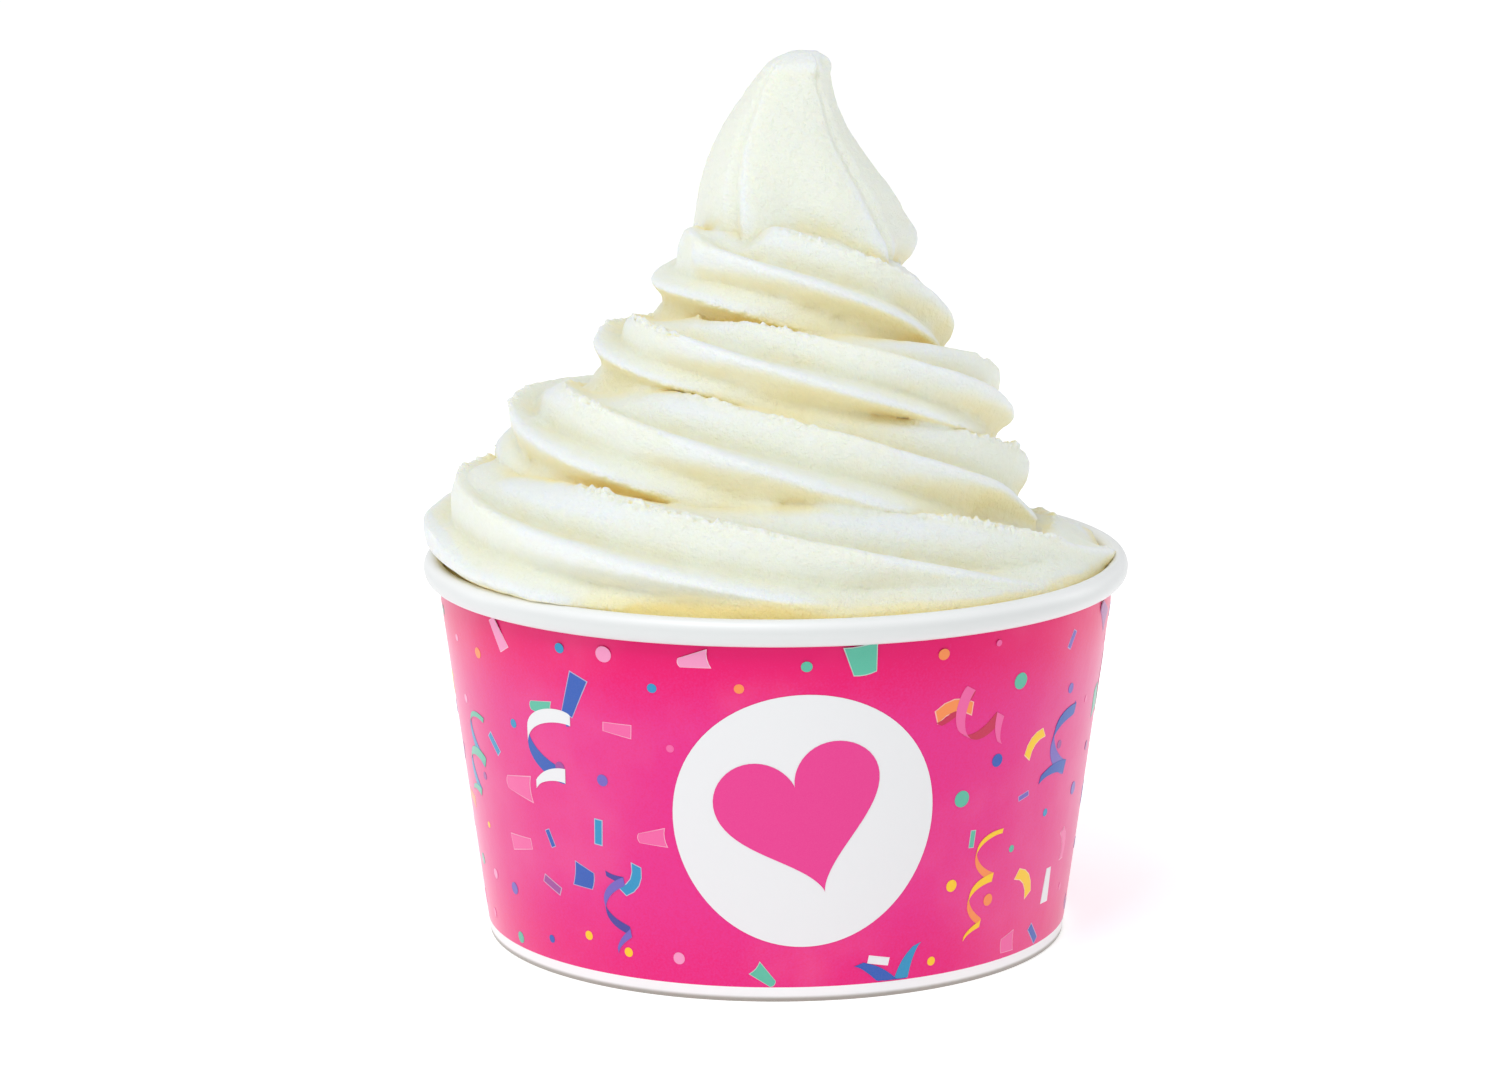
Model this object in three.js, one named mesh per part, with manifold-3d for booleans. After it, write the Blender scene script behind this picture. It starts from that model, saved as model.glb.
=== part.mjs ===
// A paper dessert cup filled with a tall swirl of frozen yogurt.
// Millimetres, +Z up. The origin is on the cup's axis, on the table under the cup; -Y is the front.
import * as THREE from "three";
import Module from "manifold-3d";
import { mergeVertices } from "three/addons/utils/BufferGeometryUtils.js";

const wasm = await Module();
wasm.setup();

// Paper cup. The wall is one sheet that widens upwards and ends in a curl at the rim.
const CUP_FACETS = 64;
const PAPER = 0.6;
const BASE_RADIUS = 46.1;
const WALL_SLOPE = 7.9 / 59.2;
const RIM_RADIUS = 56;
const CURL_HALF_WIDTH = 1.55;
const CURL_HALF_HEIGHT = 2.1;
const CURL_HEIGHT = 59.2;
const CURL_END_ANGLE = -100;
const CURL_STEPS = 10;
const CURL_RADIUS = RIM_RADIUS - CURL_HALF_WIDTH;

// The recessed bottom disc, with a flange turned down inside the wall's skirt.
const DISC_TOP = 7;
const FLANGE_FOOT = 0.5;
const CONTACT_GAP = 0.3;

// The piped rope. Every list gives one size for each half turn or each whole turn of the helix,
// counted downwards from the left of the uppermost coil, and starting one turn above it.
const LOBES = 6;
const LOBE_DEPTH = 0.38;
const LOBE_SHARPNESS = 1.7;
const LOBE_SKEW = 0.3;
const LIP_HEIGHT = 0.7;
const SECTION_POWER = 1.75;
const COIL_RADIUS = [3, 7.5, 16.7, 16.7, 23.7, 29.5, 33.6, 36.7, 40.3, 46.5, 43.8];
const LOBE_TURN = [322, 172, 25, -109, -261, -425, -545, -744, -877, -1035, -1177];
const SECTION_HALF_WIDTH = [5, 7.6, 8.1, 9.2, 9.3, 9.4];
const SECTION_HALF_HEIGHT = [6, 9.9, 7, 10, 11.5, 11.8];
const SECTION_TILT = [31, 31, 25, 23, 13, -1];
const COIL_CENTRE_X = [5.9, 4.9, 2.2, -1.8, -6.5, -9.4];
const COIL_CENTRE_Y = [-0.1, -0.6, -0.7, 1.4, 0.3, -0.8];
const TOP_COIL_HEIGHT = 102.9;
const COIL_DROP = 11.6;
const COIL_DROP_GROWTH = 0.57;
const COIL_SAG_LEFT = 0.7;
const COIL_SAG_BACK = 5.5;
const FIRST_TURN = -0.5;
const LAST_TURN = 4;
// Share by which the start of the rope is pressed down under the pointed top.
const PRESSED_SHARE = 0.3;
// The last coil swells at its right end.
const SWELL_TURN = 3.5;
const SWELL_SPREAD = 0.1;
const SWELL_REACH = 8.5;
// The valley between the two upper ridges opens at the left end of the top coil.
const VALLEY_TURN = 0;
const VALLEY_SPREAD = 0.16;
const VALLEY_ANGLE = 55;
const VALLEY_WIDTH = 45;
const VALLEY_OPENING = 18;
const RINGS_PER_TURN = 24;
const RINGS_PER_PIECE = 6;
const POINTS_PER_LOBE = 4;
const FACET_TOLERANCE = 0.05;

// The yogurt that fills the hollow between one coil and the next below it.
const WEB_DEPTH = 7.2;
const WEB_HALF_WIDTH = 7;
const WEB_HALF_HEIGHT = 8;
const WEB_POINTS = 14;

// The pointed top, drawn off the nozzle: radius and centre against height.
const PEAK_HEIGHTS = [103, 106, 108.5, 111, 114, 118, 123.5, 129.5, 133.5, 136.5, 139.3, 140.4];
const PEAK_RADII = [10, 16, 18.3, 18.5, 17.4, 15.8, 12.9, 9.5, 7.4, 5.9, 4.2, 2.0];
const PEAK_CENTRE_X = [5, 5, 5.1, 5.1, 4.3, 3.4, 2.1, 1.6, 2.1, 2.8, 4.1, 4.5];
const PEAK_LOBES = 5;
const PEAK_LOBE_DEPTH = 0.11;
const PEAK_BASE_LOBE_DEPTH = 0.15;
const PEAK_LOBE_SHARPNESS = 1.2;
const PEAK_LOBE_TURN = -50;
const PEAK_TWIST = -10;
const PEAK_POINTS = 30;
const PEAK_FULL_HEADING = 215;
const PEAK_FULL_WIDTH = 42;
const PEAK_FULL_HEIGHT = 109;

// The solid filling under the rope, turned about the cup's axis.
const FILL = [
  [46, DISC_TOP + CONTACT_GAP], [50.2, 38], [52.6, 52], [53.2, 58.8], [52.7, 61.2], [51.2, 62.4], [47, 63.2],
  [40, 66], [26, 80], [18, 92], [12, 106],
];

// A lump of yogurt pressed between two coils on the left.
const PATCH_MIDDLE = [-41, -9, 73.4];
const PATCH_HALF_SIZES = [8.5, 13, 3.4];

// The gaps that the overhanging coil leaves open against the wall, on the left and at the back right.
const POCKETS = [
  { heading: 197, radius: 53, height: 60.2, halfSizes: [2.4, 12, 3] },
  { heading: 32, radius: 51.5, height: 60.5, halfSizes: [6, 17, 7.5] },
];
const EGG_FACETS = 24;

const radians = (degrees) => (degrees * Math.PI) / 180;

/** Smooth curve through values at evenly or unevenly spaced places. */
function curveThrough(places, values) {
  const last = places.length - 1;
  const slopes = values.map((value, i) => {
    if (i === 0) return (values[1] - value) / (places[1] - places[0]);
    if (i === last) return (value - values[i - 1]) / (places[i] - places[i - 1]);
    const before = places[i] - places[i - 1];
    const after = places[i + 1] - places[i];
    const rise = (value - values[i - 1]) / before;
    const climb = (values[i + 1] - value) / after;
    return (after * rise + before * climb) / (before + after);
  });
  return (place) => {
    const at = Math.min(Math.max(place, places[0]), places[last]);
    let i = 0;
    while (i < last - 1 && at > places[i + 1]) i += 1;
    const span = places[i + 1] - places[i];
    const t = (at - places[i]) / span;
    const u = 1 - t;
    return (1 + 2 * t) * u * u * values[i] + t * u * u * span * slopes[i]
      + t * t * (3 - 2 * t) * values[i + 1] - t * t * u * span * slopes[i + 1];
  };
}

/** Places of the listed sizes along the helix, one every `step` turns. */
function turnPlaces(values, step) {
  return values.map((_, i) => -1 + i * step);
}

const perHalfTurn = (values) => curveThrough(turnPlaces(values, 0.5), values);
const perTurn = (values) => curveThrough(turnPlaces(values, 1), values);

const coilRadius = perHalfTurn(COIL_RADIUS);
const lobeTurn = perHalfTurn(LOBE_TURN);
const sectionHalfWidth = perTurn(SECTION_HALF_WIDTH);
const sectionHalfHeight = perTurn(SECTION_HALF_HEIGHT);
const sectionTilt = perTurn(SECTION_TILT);
const coilCentreX = perTurn(COIL_CENTRE_X);
const coilCentreY = perTurn(COIL_CENTRE_Y);

/** Height of the rope's centre after some turns of the helix. */
function coilHeight(turn) {
  const around = 2 * Math.PI * turn;
  return TOP_COIL_HEIGHT - COIL_DROP * turn - COIL_DROP_GROWTH * turn * turn
    + COIL_SAG_LEFT * Math.cos(around) + COIL_SAG_BACK * Math.sin(around);
}

/** 0 below low, 1 above high, smooth between. */
function ease(value, low, high) {
  const t = Math.min(Math.max((value - low) / (high - low), 0), 1);
  return t * t * (3 - 2 * t);
}

/** Angle brought between -180 and 180 degrees. */
const wrapped = (degrees) => ((degrees % 360) + 540) % 360 - 180;

/** Centre line of the rope after some turns of the helix. */
function coilMiddle(turn) {
  return {
    radius: coilRadius(turn) + SWELL_REACH * Math.exp(-(((turn - SWELL_TURN) / SWELL_SPREAD) ** 2)),
    heading: Math.PI * (1 + 2 * turn),
    x: coilCentreX(turn),
    y: coilCentreY(turn),
    z: coilHeight(turn),
  };
}

/** How much of the full groove depth is left at an angle round the rope, which is less where it is sheltered. */
function grooveShare(angle) {
  const side = Math.cos(angle);
  return Math.sin(angle) > 0 ? 0.2 + 0.8 * ease(side, 0.05, 0.6) : 0.15 + 0.85 * ease(side, 0.1, 0.75);
}

/** Point of the rope's skin: `turn` along the helix, `lobeAngle` round the section from a lobe's crest. */
function ropePoint(turn, lobeAngle) {
  const plain = lobeAngle + radians(lobeTurn(turn));
  const past = wrapped(plain * (180 / Math.PI) - VALLEY_ANGLE);
  const near = Math.exp(-(((turn - VALLEY_TURN) / VALLEY_SPREAD) ** 2) - (past / VALLEY_WIDTH) ** 2);
  const angle = plain + radians(VALLEY_OPENING) * near * (past / 30);
  const tilted = angle - radians(sectionTilt(turn));
  const across = Math.abs(Math.cos(tilted) / sectionHalfWidth(turn)) ** SECTION_POWER;
  const along = Math.abs(Math.sin(tilted) / sectionHalfHeight(turn)) ** SECTION_POWER;
  const skewed = lobeAngle + (LOBE_SKEW * (1 - Math.cos(LOBES * lobeAngle))) / LOBES;
  const wave = Math.abs(Math.sin((LOBES * skewed) / 2)) ** LOBE_SHARPNESS;
  const full = (1 - LOBE_DEPTH * grooveShare(angle) * wave) * (across + along) ** (-1 / SECTION_POWER);
  const lip = LIP_HEIGHT * (1 - wave) ** 2 * ease(Math.sin(angle), 0.45, 0.85);
  const underPeak = Math.sin(angle) > 0
    ? ease(-Math.cos(angle), -0.05, 0.35) * Math.exp(-(((turn - 0.05) / 0.09) ** 2)) : 0;
  const reach = (full + lip) * (1 - PRESSED_SHARE * underPeak);
  const middle = coilMiddle(turn);
  const radius = middle.radius + reach * Math.cos(angle);
  return [
    middle.x + radius * Math.cos(middle.heading),
    middle.y + radius * Math.sin(middle.heading),
    middle.z + reach * Math.sin(angle),
  ];
}

/** Point of the web under a coil: `turn` along the helix, `angle` round its section. */
function webPoint(turn, angle) {
  const upper = coilMiddle(turn);
  const lower = coilMiddle(turn + 1);
  const outermost = (upper.radius + sectionHalfWidth(turn) + lower.radius + sectionHalfWidth(turn + 1)) / 2;
  const radius = outermost - WEB_DEPTH - WEB_HALF_WIDTH + WEB_HALF_WIDTH * Math.cos(angle);
  return [
    (upper.x + lower.x) / 2 + radius * Math.cos(upper.heading),
    (upper.y + lower.y) / 2 + radius * Math.sin(upper.heading),
    (upper.z + lower.z) / 2 + WEB_HALF_HEIGHT * Math.sin(angle),
  ];
}

const peakRadius = curveThrough(PEAK_HEIGHTS, PEAK_RADII);
const peakCentre = curveThrough(PEAK_HEIGHTS, PEAK_CENTRE_X);

/** Point of the pointed top's skin at a height and an angle round it. */
function peakPoint(height, angle) {
  const turn = radians(PEAK_LOBE_TURN + PEAK_TWIST * ease(height, 131, 139));
  const wave = Math.abs(Math.sin((PEAK_LOBES * (angle - turn)) / 2)) ** PEAK_LOBE_SHARPNESS;
  const full = Math.exp(-((wrapped(angle * (180 / Math.PI) - PEAK_FULL_HEADING) / PEAK_FULL_WIDTH) ** 2));
  const depth = PEAK_LOBE_DEPTH + PEAK_BASE_LOBE_DEPTH * ease(-height, -119, -108) * (1 - 0.8 * full);
  const taken = height + full * Math.max(PEAK_FULL_HEIGHT - height, 0);
  const radius = peakRadius(taken) * (1.01 - depth * wave);
  return [peakCentre(height) + radius * Math.cos(angle), radius * Math.sin(angle), height];
}

/** Closed body through rings of points, all wound the same way, with a flat fan on each end. */
function bodyThroughRings(rings) {
  const count = rings[0].length;
  const points = rings.flat();
  const triangles = [];
  for (let i = 0; i + 1 < rings.length; i += 1) {
    for (let j = 0; j < count; j += 1) {
      const a = i * count + j;
      const b = i * count + ((j + 1) % count);
      triangles.push(a, b, b + count, a, b + count, a + count);
    }
  }
  for (const end of [0, rings.length - 1]) {
    const ring = rings[end];
    const middle = [0, 1, 2].map((k) => ring.reduce((sum, point) => sum + point[k], 0) / count);
    const hub = points.push(middle) - 1;
    for (let j = 0; j < count; j += 1) {
      const a = end * count + j;
      const b = end * count + ((j + 1) % count);
      triangles.push(hub, ...(end === 0 ? [b, a] : [a, b]));
    }
  }
  return solidFrom(points.flat(), triangles);
}

/** Manifold solid from flat lists, turned outwards if it was wound inwards. */
function solidFrom(positions, triangles) {
  const build = (order) => new wasm.Manifold(new wasm.Mesh({
    numProp: 3,
    vertProperties: Float32Array.from(positions),
    triVerts: Uint32Array.from(order),
  }));
  const corner = (i) => new THREE.Vector3().fromArray(positions, 3 * triangles[i]);
  let volume = 0;
  for (let i = 0; i < triangles.length; i += 3) {
    volume += corner(i).dot(corner(i + 1).cross(corner(i + 2)));
  }
  const flipped = (order) => order.map((_, i) => order[i - (i % 3) + ((3 - (i % 3)) % 3)]);
  return build(volume < 0 ? flipped(triangles) : triangles);
}

/** Lathe geometry about the vertical axis from radius and height pairs. */
function turned(profile, facets) {
  const lathe = new THREE.LatheGeometry(profile.map(([r, z]) => new THREE.Vector2(r, z)), facets);
  lathe.rotateX(Math.PI / 2);
  lathe.deleteAttribute("normal");
  lathe.deleteAttribute("uv");
  return mergeVertices(lathe, 1e-4);
}

/** Solid of revolution between the axis and a profile listed upwards. */
function turnedSolid(profile, facets) {
  const [, foot] = profile[0];
  const [, head] = profile[profile.length - 1];
  const shape = turned([[0, foot], ...profile, [0, head]], facets);
  return solidFrom(Array.from(shape.attributes.position.array), Array.from(shape.index.array));
}

const wallOuter = (z) => BASE_RADIUS + WALL_SLOPE * z;
const wallInner = (z) => wallOuter(z) - PAPER;

/** Point of the rim's curl at an angle from its outer side, a paper's thickness further in if asked. */
function curlPoint(degrees, inset) {
  const angle = radians(degrees);
  return [
    CURL_RADIUS + (CURL_HALF_WIDTH - inset) * Math.cos(angle),
    CURL_HEIGHT + (CURL_HALF_HEIGHT - inset) * Math.sin(angle),
  ];
}

/** Wall and curl as one closed strip of paper. */
function cupWall() {
  const curlAngles = Array.from({ length: CURL_STEPS + 1 }, (_, i) => (
    180 + ((CURL_END_ANGLE - 180) * i) / CURL_STEPS
  ));
  const underside = curlAngles.map((angle) => curlPoint(angle, PAPER));
  const topside = curlAngles.map((angle) => curlPoint(angle, 0)).reverse();
  const strip = [
    [wallOuter(0), 0], [wallOuter(28), 28], [wallOuter(56), 56],
    ...underside, ...topside,
    [wallInner(56), 56], [wallInner(28), 28], [wallInner(0), 0],
  ];
  return turned([...strip, strip[0]], CUP_FACETS);
}

/** Bottom disc with its flange. */
function cupBase() {
  const rimOf = (z) => wallInner(z) - CONTACT_GAP;
  return turned([
    [0, DISC_TOP - PAPER], [rimOf(DISC_TOP) - PAPER, DISC_TOP - PAPER], [rimOf(FLANGE_FOOT) - PAPER, FLANGE_FOOT],
    [rimOf(FLANGE_FOOT), FLANGE_FOOT], [rimOf(DISC_TOP), DISC_TOP], [0, DISC_TOP],
  ], CUP_FACETS);
}

/** Room that the yogurt may fill: inside the wall, then past the curl and out over the rim. */
function roomForYogurt() {
  const past = CONTACT_GAP + 0.1;
  const inner = (z) => [wallInner(z) - past, z];
  const beside = (degrees) => {
    const [r, z] = curlPoint(degrees, -past);
    return [r, z];
  };
  return turnedSolid([
    inner(DISC_TOP + CONTACT_GAP), inner(30), inner(55), beside(190), beside(170), beside(140), beside(115), beside(90),
    [RIM_RADIUS - 0.1, CURL_HEIGHT + CURL_HALF_HEIGHT + past + 0.1], [RIM_RADIUS - 0.1, 90], [RIM_RADIUS - 0.1, 150],
  ], CUP_FACETS);
}

/** Angles evenly round a circle. */
const around = (count) => Array.from({ length: count }, (_, i) => (2 * Math.PI * i) / count);

/** Short closed lengths of a body swept along the helix, which overlap a little. */
function sweptPieces(pointAt, points, lastTurn) {
  const angles = around(points);
  const rings = Math.round((lastTurn - FIRST_TURN) * RINGS_PER_TURN);
  const pieces = [];
  for (let first = 0; first < rings; first += RINGS_PER_PIECE) {
    const last = Math.min(first + RINGS_PER_PIECE + 1, rings);
    const own = Array.from({ length: last - first + 1 }, (_, i) => (
      angles.map((angle) => pointAt(FIRST_TURN + (first + i) / RINGS_PER_TURN, angle))
    ));
    pieces.push(bodyThroughRings(own));
  }
  return pieces;
}

/** Egg-shaped body, its first two half sizes turned about the vertical. */
function egg(middle, halfSizes, turn) {
  return wasm.Manifold.sphere(1, EGG_FACETS).scale(halfSizes).rotate([0, 0, turn]).translate(middle);
}

/** Rope, webs, pointed top and filling joined into one solid and kept clear of the cup. */
function yogurt() {
  const peakHeights = PEAK_HEIGHTS.flatMap((height, i) => {
    const next = PEAK_HEIGHTS[i + 1];
    return next === undefined ? [height] : [height, (height + next) / 2];
  });
  const peakAngles = around(PEAK_POINTS);
  const pieces = [
    ...sweptPieces(ropePoint, LOBES * POINTS_PER_LOBE, LAST_TURN),
    ...sweptPieces(webPoint, WEB_POINTS, LAST_TURN - 1),
    bodyThroughRings(peakHeights.map((height) => peakAngles.map((angle) => peakPoint(height, angle)))),
    turnedSolid(FILL, CUP_FACETS),
    egg(PATCH_MIDDLE, PATCH_HALF_SIZES, 0),
  ];
  const pockets = POCKETS.map(({ heading, radius, height, halfSizes }) => egg(
    [radius * Math.cos(radians(heading)), radius * Math.sin(radians(heading)), height], halfSizes, heading,
  ));
  const whole = wasm.Manifold.union(pieces).intersect(roomForYogurt()).subtract(wasm.Manifold.union(pockets));
  return outerShell(whole.simplify(FACET_TOLERANCE));
}

/** Largest shell of a solid, which leaves out the pockets sealed inside it. */
function outerShell(solid) {
  return solid.decompose().reduce((best, shell) => (shell.volume() > best.volume() ? shell : best));
}

/** three.js geometry from a manifold solid. */
function geometryOf(solid) {
  const { vertProperties, triVerts } = solid.getMesh();
  const geometry = new THREE.BufferGeometry();
  geometry.setAttribute("position", new THREE.BufferAttribute(Float32Array.from(vertProperties), 3));
  geometry.setIndex(Array.from(triVerts));
  return mergeVertices(geometry, 1e-3);
}

const group = new THREE.Group();

function add(name, geometry, colour) {
  const material = new THREE.MeshStandardMaterial({ color: colour });
  const mesh = new THREE.Mesh(geometry, material);
  mesh.name = name;
  group.add(mesh);
}

add("cup_wall", cupWall(), 0xdf1c78);
add("cup_base", cupBase(), 0xf2f0ea);
add("yogurt_swirl", geometryOf(yogurt()), 0xf6f1dc);

export default group;
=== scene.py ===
import math

import bmesh
import bpy
import numpy as np
from mathutils import Matrix, Vector
from mathutils.bvhtree import BVHTree


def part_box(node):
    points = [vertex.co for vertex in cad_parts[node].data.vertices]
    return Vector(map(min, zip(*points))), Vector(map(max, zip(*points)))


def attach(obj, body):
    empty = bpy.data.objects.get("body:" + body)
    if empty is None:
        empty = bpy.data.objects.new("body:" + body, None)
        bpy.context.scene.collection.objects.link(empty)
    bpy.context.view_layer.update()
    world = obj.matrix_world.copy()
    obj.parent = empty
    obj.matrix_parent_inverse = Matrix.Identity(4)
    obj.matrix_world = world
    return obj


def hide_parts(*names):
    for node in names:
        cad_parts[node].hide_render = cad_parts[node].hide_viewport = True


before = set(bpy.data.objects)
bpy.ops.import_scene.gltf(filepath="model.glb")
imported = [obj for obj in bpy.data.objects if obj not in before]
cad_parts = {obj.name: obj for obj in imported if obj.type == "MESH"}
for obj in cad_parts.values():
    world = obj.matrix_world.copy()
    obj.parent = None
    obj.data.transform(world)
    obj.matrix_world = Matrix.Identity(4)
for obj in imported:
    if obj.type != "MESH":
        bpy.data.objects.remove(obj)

bl_info = {
    "name": "Frozen Yogurt Cup",
    "version": (1, 0, 0),
    "blender": (4, 5, 0),
    "location": "3D View > Sidebar > Yogurt Cup",
    "description": "Makes a printed paper cup with a piped swirl of frozen yogurt",
    "category": "Add Mesh",
}

MM = 0.001
TAU = 2 * math.pi
GOLDEN_SHARE = 0.618034
RAY_START = 0.0002
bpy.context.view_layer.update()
WALL_LOW, WALL_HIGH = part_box("cup_wall")
RIM_RADIUS = max(WALL_HIGH[0], -WALL_LOW[0])

# The piped rope, as the solid has it: one value for each half turn or whole turn of the helix, counted
# downwards from the left of the uppermost coil and starting one turn above it. Millimetres and degrees.
LOBES = 6
LOBE_SKEW = 0.3
SECTION_POWER = 1.75
COIL_RADIUS = [3, 7.5, 16.7, 16.7, 23.7, 29.5, 33.6, 36.7, 40.3, 46.5, 43.8]
LOBE_TURN = [322, 172, 25, -109, -261, -425, -545, -744, -877, -1035, -1177]
SECTION_HALF_WIDTH = [5, 7.6, 8.1, 9.2, 9.3, 9.4]
SECTION_HALF_HEIGHT = [6, 9.9, 7, 10, 11.5, 11.8]
SECTION_TILT = [31, 31, 25, 23, 13, -1]
COIL_CENTRE_X = [5.9, 4.9, 2.2, -1.8, -6.5, -9.4]
COIL_CENTRE_Y = [-0.1, -0.6, -0.7, 1.4, 0.3, -0.8]
TOP_COIL_HEIGHT = 102.9
COIL_DROP = 11.6
COIL_DROP_GROWTH = 0.57
COIL_SAG_LEFT = 0.7
COIL_SAG_BACK = 5.5
FIRST_TURN = -0.5
LAST_TURN = 4.0

# The rope swells at the right of the lowest coil, and one valley of the top coil opens wider than the rest.
SWELL_TURN = 3.5
SWELL_SPREAD = 0.1
SWELL_REACH = 8.5
VALLEY_TURN = 0.0
VALLEY_SPREAD = 0.16
VALLEY_ANGLE = 55
VALLEY_WIDTH = 45
VALLEY_OPENING = 18
VALLEY_OPENING_AT = 30

# The rope's skin: how deep the grooves stay on the side that faces the axis, above and below, how high the
# upper ridges stand, and how the rope is tucked in where the peak sits on it.
INNER_DEPTH_ABOVE = 0.2
INNER_DEPTH_BELOW = 0.15
UPPER_RIDGE = 0.7
TUCK = 0.3
TUCK_TURN = 0.05
TUCK_SPREAD = 0.09

# Unevenness: the radius at which noise is read round the rope, how much the grooves' depth wanders, the slow
# lumps as share, size and seed, and how far the fine strands are drawn out along the rope.
SKIN_RADIUS = 9
DEPTH_WANDER = 0.15
ROPE_LUMPS = [(1, 11.0, 3), (0.5, 4.6, 4)]
STRAND_STRETCH = (0.08, 1, 1)

# The drawn-off point in millimetres and degrees: its outline by height, how it twists near the tip, the
# depth of its hollows, the side on which its foot stays full, a narrow groove beside each of two ridges, and
# a dent by the tip.
PEAK_HEIGHTS = [103, 106, 108.5, 111, 114, 118, 123.5, 129.5, 133.5, 136.5, 139.3, 140.4]
PEAK_RADII = [10, 16, 18.3, 18.5, 17.4, 15.8, 12.9, 9.5, 7.4, 5.9, 4.2, 2.0]
PEAK_CENTRE_X = [5, 5, 5.1, 5.1, 4.3, 3.4, 2.1, 1.6, 2.1, 2.8, 4.1, 4.5]
PEAK_LOBES = 5
PEAK_LOBE_TURN = -50
PEAK_TWIST = -10
PEAK_TWIST_HEIGHTS = (131, 139)
PEAK_CROWDING = 0.93
PEAK_WAVE_POWER = 1.2
PEAK_DEPTH_ABOVE = 0.09
PEAK_DEPTH_BELOW = 0.17
PEAK_FULL_HEADING = 215
PEAK_FULL_WIDTH = 42
PEAK_FULL_HEIGHT = 109
PEAK_GROOVE_BESIDE = 8
PEAK_GROOVE_WIDTH = 5
PEAK_GROOVE_DEPTH = 0.065
PEAK_TIP_DENT = {"angle": 38, "width": 22, "height": 138.9, "spread": 0.9}

# The webs that fill the hollows between one coil and the next.
WEB_DEPTH = 7.2
WEB_HALF_WIDTH = 7
WEB_HALF_HEIGHT = 8

# The filling in the cup as radius and height, and the gaps left open between the yogurt and the wall.
FILL = [(46, 7.3), (50.2, 38), (52.6, 52), (53.2, 58.8), (52.7, 61.2), (51.2, 62.4), (47, 63.2), (40, 66),
        (26, 80), (18, 92), (12, 106)]
POCKETS = [
    {"heading": 197, "radius": 53.0, "height": 60.2, "half_sizes": (2.4, 12, 3.0)},
    {"heading": 32, "radius": 51.5, "height": 60.5, "half_sizes": (6.0, 17, 7.5)},
]

# Eggs of yogurt that fill valleys which the piping closed: the middle, the half sizes and the turn.
PATCHES = [
    ((-41, -9, 73.4), (8.5, 13, 3.4), 0),
    ((15.1, -22.4, 87.3), (5.5, 7, 3), -56),
    ((3.6, -35.8, 76.2), (4.6, 5, 2.5), -84),
]

# Places where the swirl is pushed in or out: the middle, how far the push reaches, and the move.
DENTS = [
    ((1.5, -14.6, 117.3), 5.5, (0.0, 1.5, -0.2)),
    ((-4.3, -15.0, 114.4), 3.2, (0.1, -0.5, -2.7)),
    ((-14.8, -11.0, 110.6), 3.2, (1.3, 0.3, 0.1)),
    ((-12.5, -8.0, 111.0), 3.5, (-0.8, -0.5, 0.2)),
    ((51.0, 1.0, 66.0), 8.0, (-0.3, 0.0, -2.4)),
    ((44.0, -13.0, 67.5), 9.0, (0.6, 0.0, -2.6)),
    ((-48.0, -29.0, 63.5), 8.0, (0.4, 0.3, -0.9)),
]

# The zone in which the yogurt meets the cup: the heights and the radii between which it fades out.
RIM_SPACE_HEIGHTS = (64.5, 62.0)
RIM_SPACE_RADII = (53.2, 54.6)

# The cup, in millimetres.
CURL_HALF_WIDTH = 1.55
CURL_HALF_HEIGHT = 2.1
CURL_STEPS = 30
WALL_SLOPE = 7.9 / 59.2
SEAM_LAP = 8
SEAM_HEIGHT = 0.32
SEAM_EDGE = 2e-4
WALL_COLUMNS = 240
BOTTOM_GAP = 0.1
WALL_GAP = 0.12


# ---------------------------------------------------------------- numbers and meshes

def curve_through(places, values):
    """Smooth curve through values at the given places."""
    places = np.asarray(places, float)
    values = np.asarray(values, float)
    slopes = np.gradient(values, places)

    def at(place):
        place = np.clip(place, places[0], places[-1])
        i = np.clip(np.searchsorted(places, place) - 1, 0, len(places) - 2)
        span = places[i + 1] - places[i]
        t = (place - places[i]) / span
        u = 1 - t
        return ((1 + 2 * t) * u * u * values[i] + t * u * u * span * slopes[i]
                + t * t * (3 - 2 * t) * values[i + 1] - t * t * u * span * slopes[i + 1])
    return at


def per_turn(values, step):
    """Curve through values listed at every `step` turns of the helix, from one turn above the top coil."""
    return curve_through([-1 + i * step for i in range(len(values))], values)


def ease(value, low, high):
    """0 below low, 1 above high, smooth between."""
    t = np.clip((value - low) / (high - low), 0, 1)
    return t * t * (3 - 2 * t)


def lumps(points, cell, seed):
    """Smooth noise from -1 to 1 over points, with lumps about one cell across."""
    table = np.random.default_rng(seed).uniform(-1, 1, (32, 32, 32))
    at = np.asarray(points) / cell
    low = np.floor(at).astype(int)
    t = at - low
    t = t * t * (3 - 2 * t)
    total = 0
    for corner in np.ndindex(2, 2, 2):
        weight = np.prod(np.where(np.array(corner) == 1, t, 1 - t), axis=-1)
        i = (low + corner) % 32
        total = total + weight * table[i[..., 0], i[..., 1], i[..., 2]]
    return total


def layered(points, *layers):
    """Sum of smooth noises, each given as its share, the size of its lumps and its seed."""
    return sum(share * lumps(points, cell, seed) for share, cell, seed in layers)


def hill(value, width):
    """1 where the value is 0, falling away smoothly on both sides."""
    return np.exp(-(value / width) ** 2)


def degrees_past(angle, middle):
    """Degrees from a middle angle to an angle in degrees, from -180 to 180."""
    return (angle - middle + 180) % 360 - 180


def mesh_object(name, points_mm, faces, smooth=True):
    """Object at the origin from points in millimetres."""
    mesh = bpy.data.meshes.new(name)
    mesh.from_pydata((np.asarray(points_mm, float) * MM).tolist(), [], [tuple(map(int, f)) for f in faces])
    mesh.update()
    mesh.polygons.foreach_set("use_smooth", np.full(len(mesh.polygons), smooth))
    thing = bpy.data.objects.new(name, mesh)
    bpy.context.scene.collection.objects.link(thing)
    return thing


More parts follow.
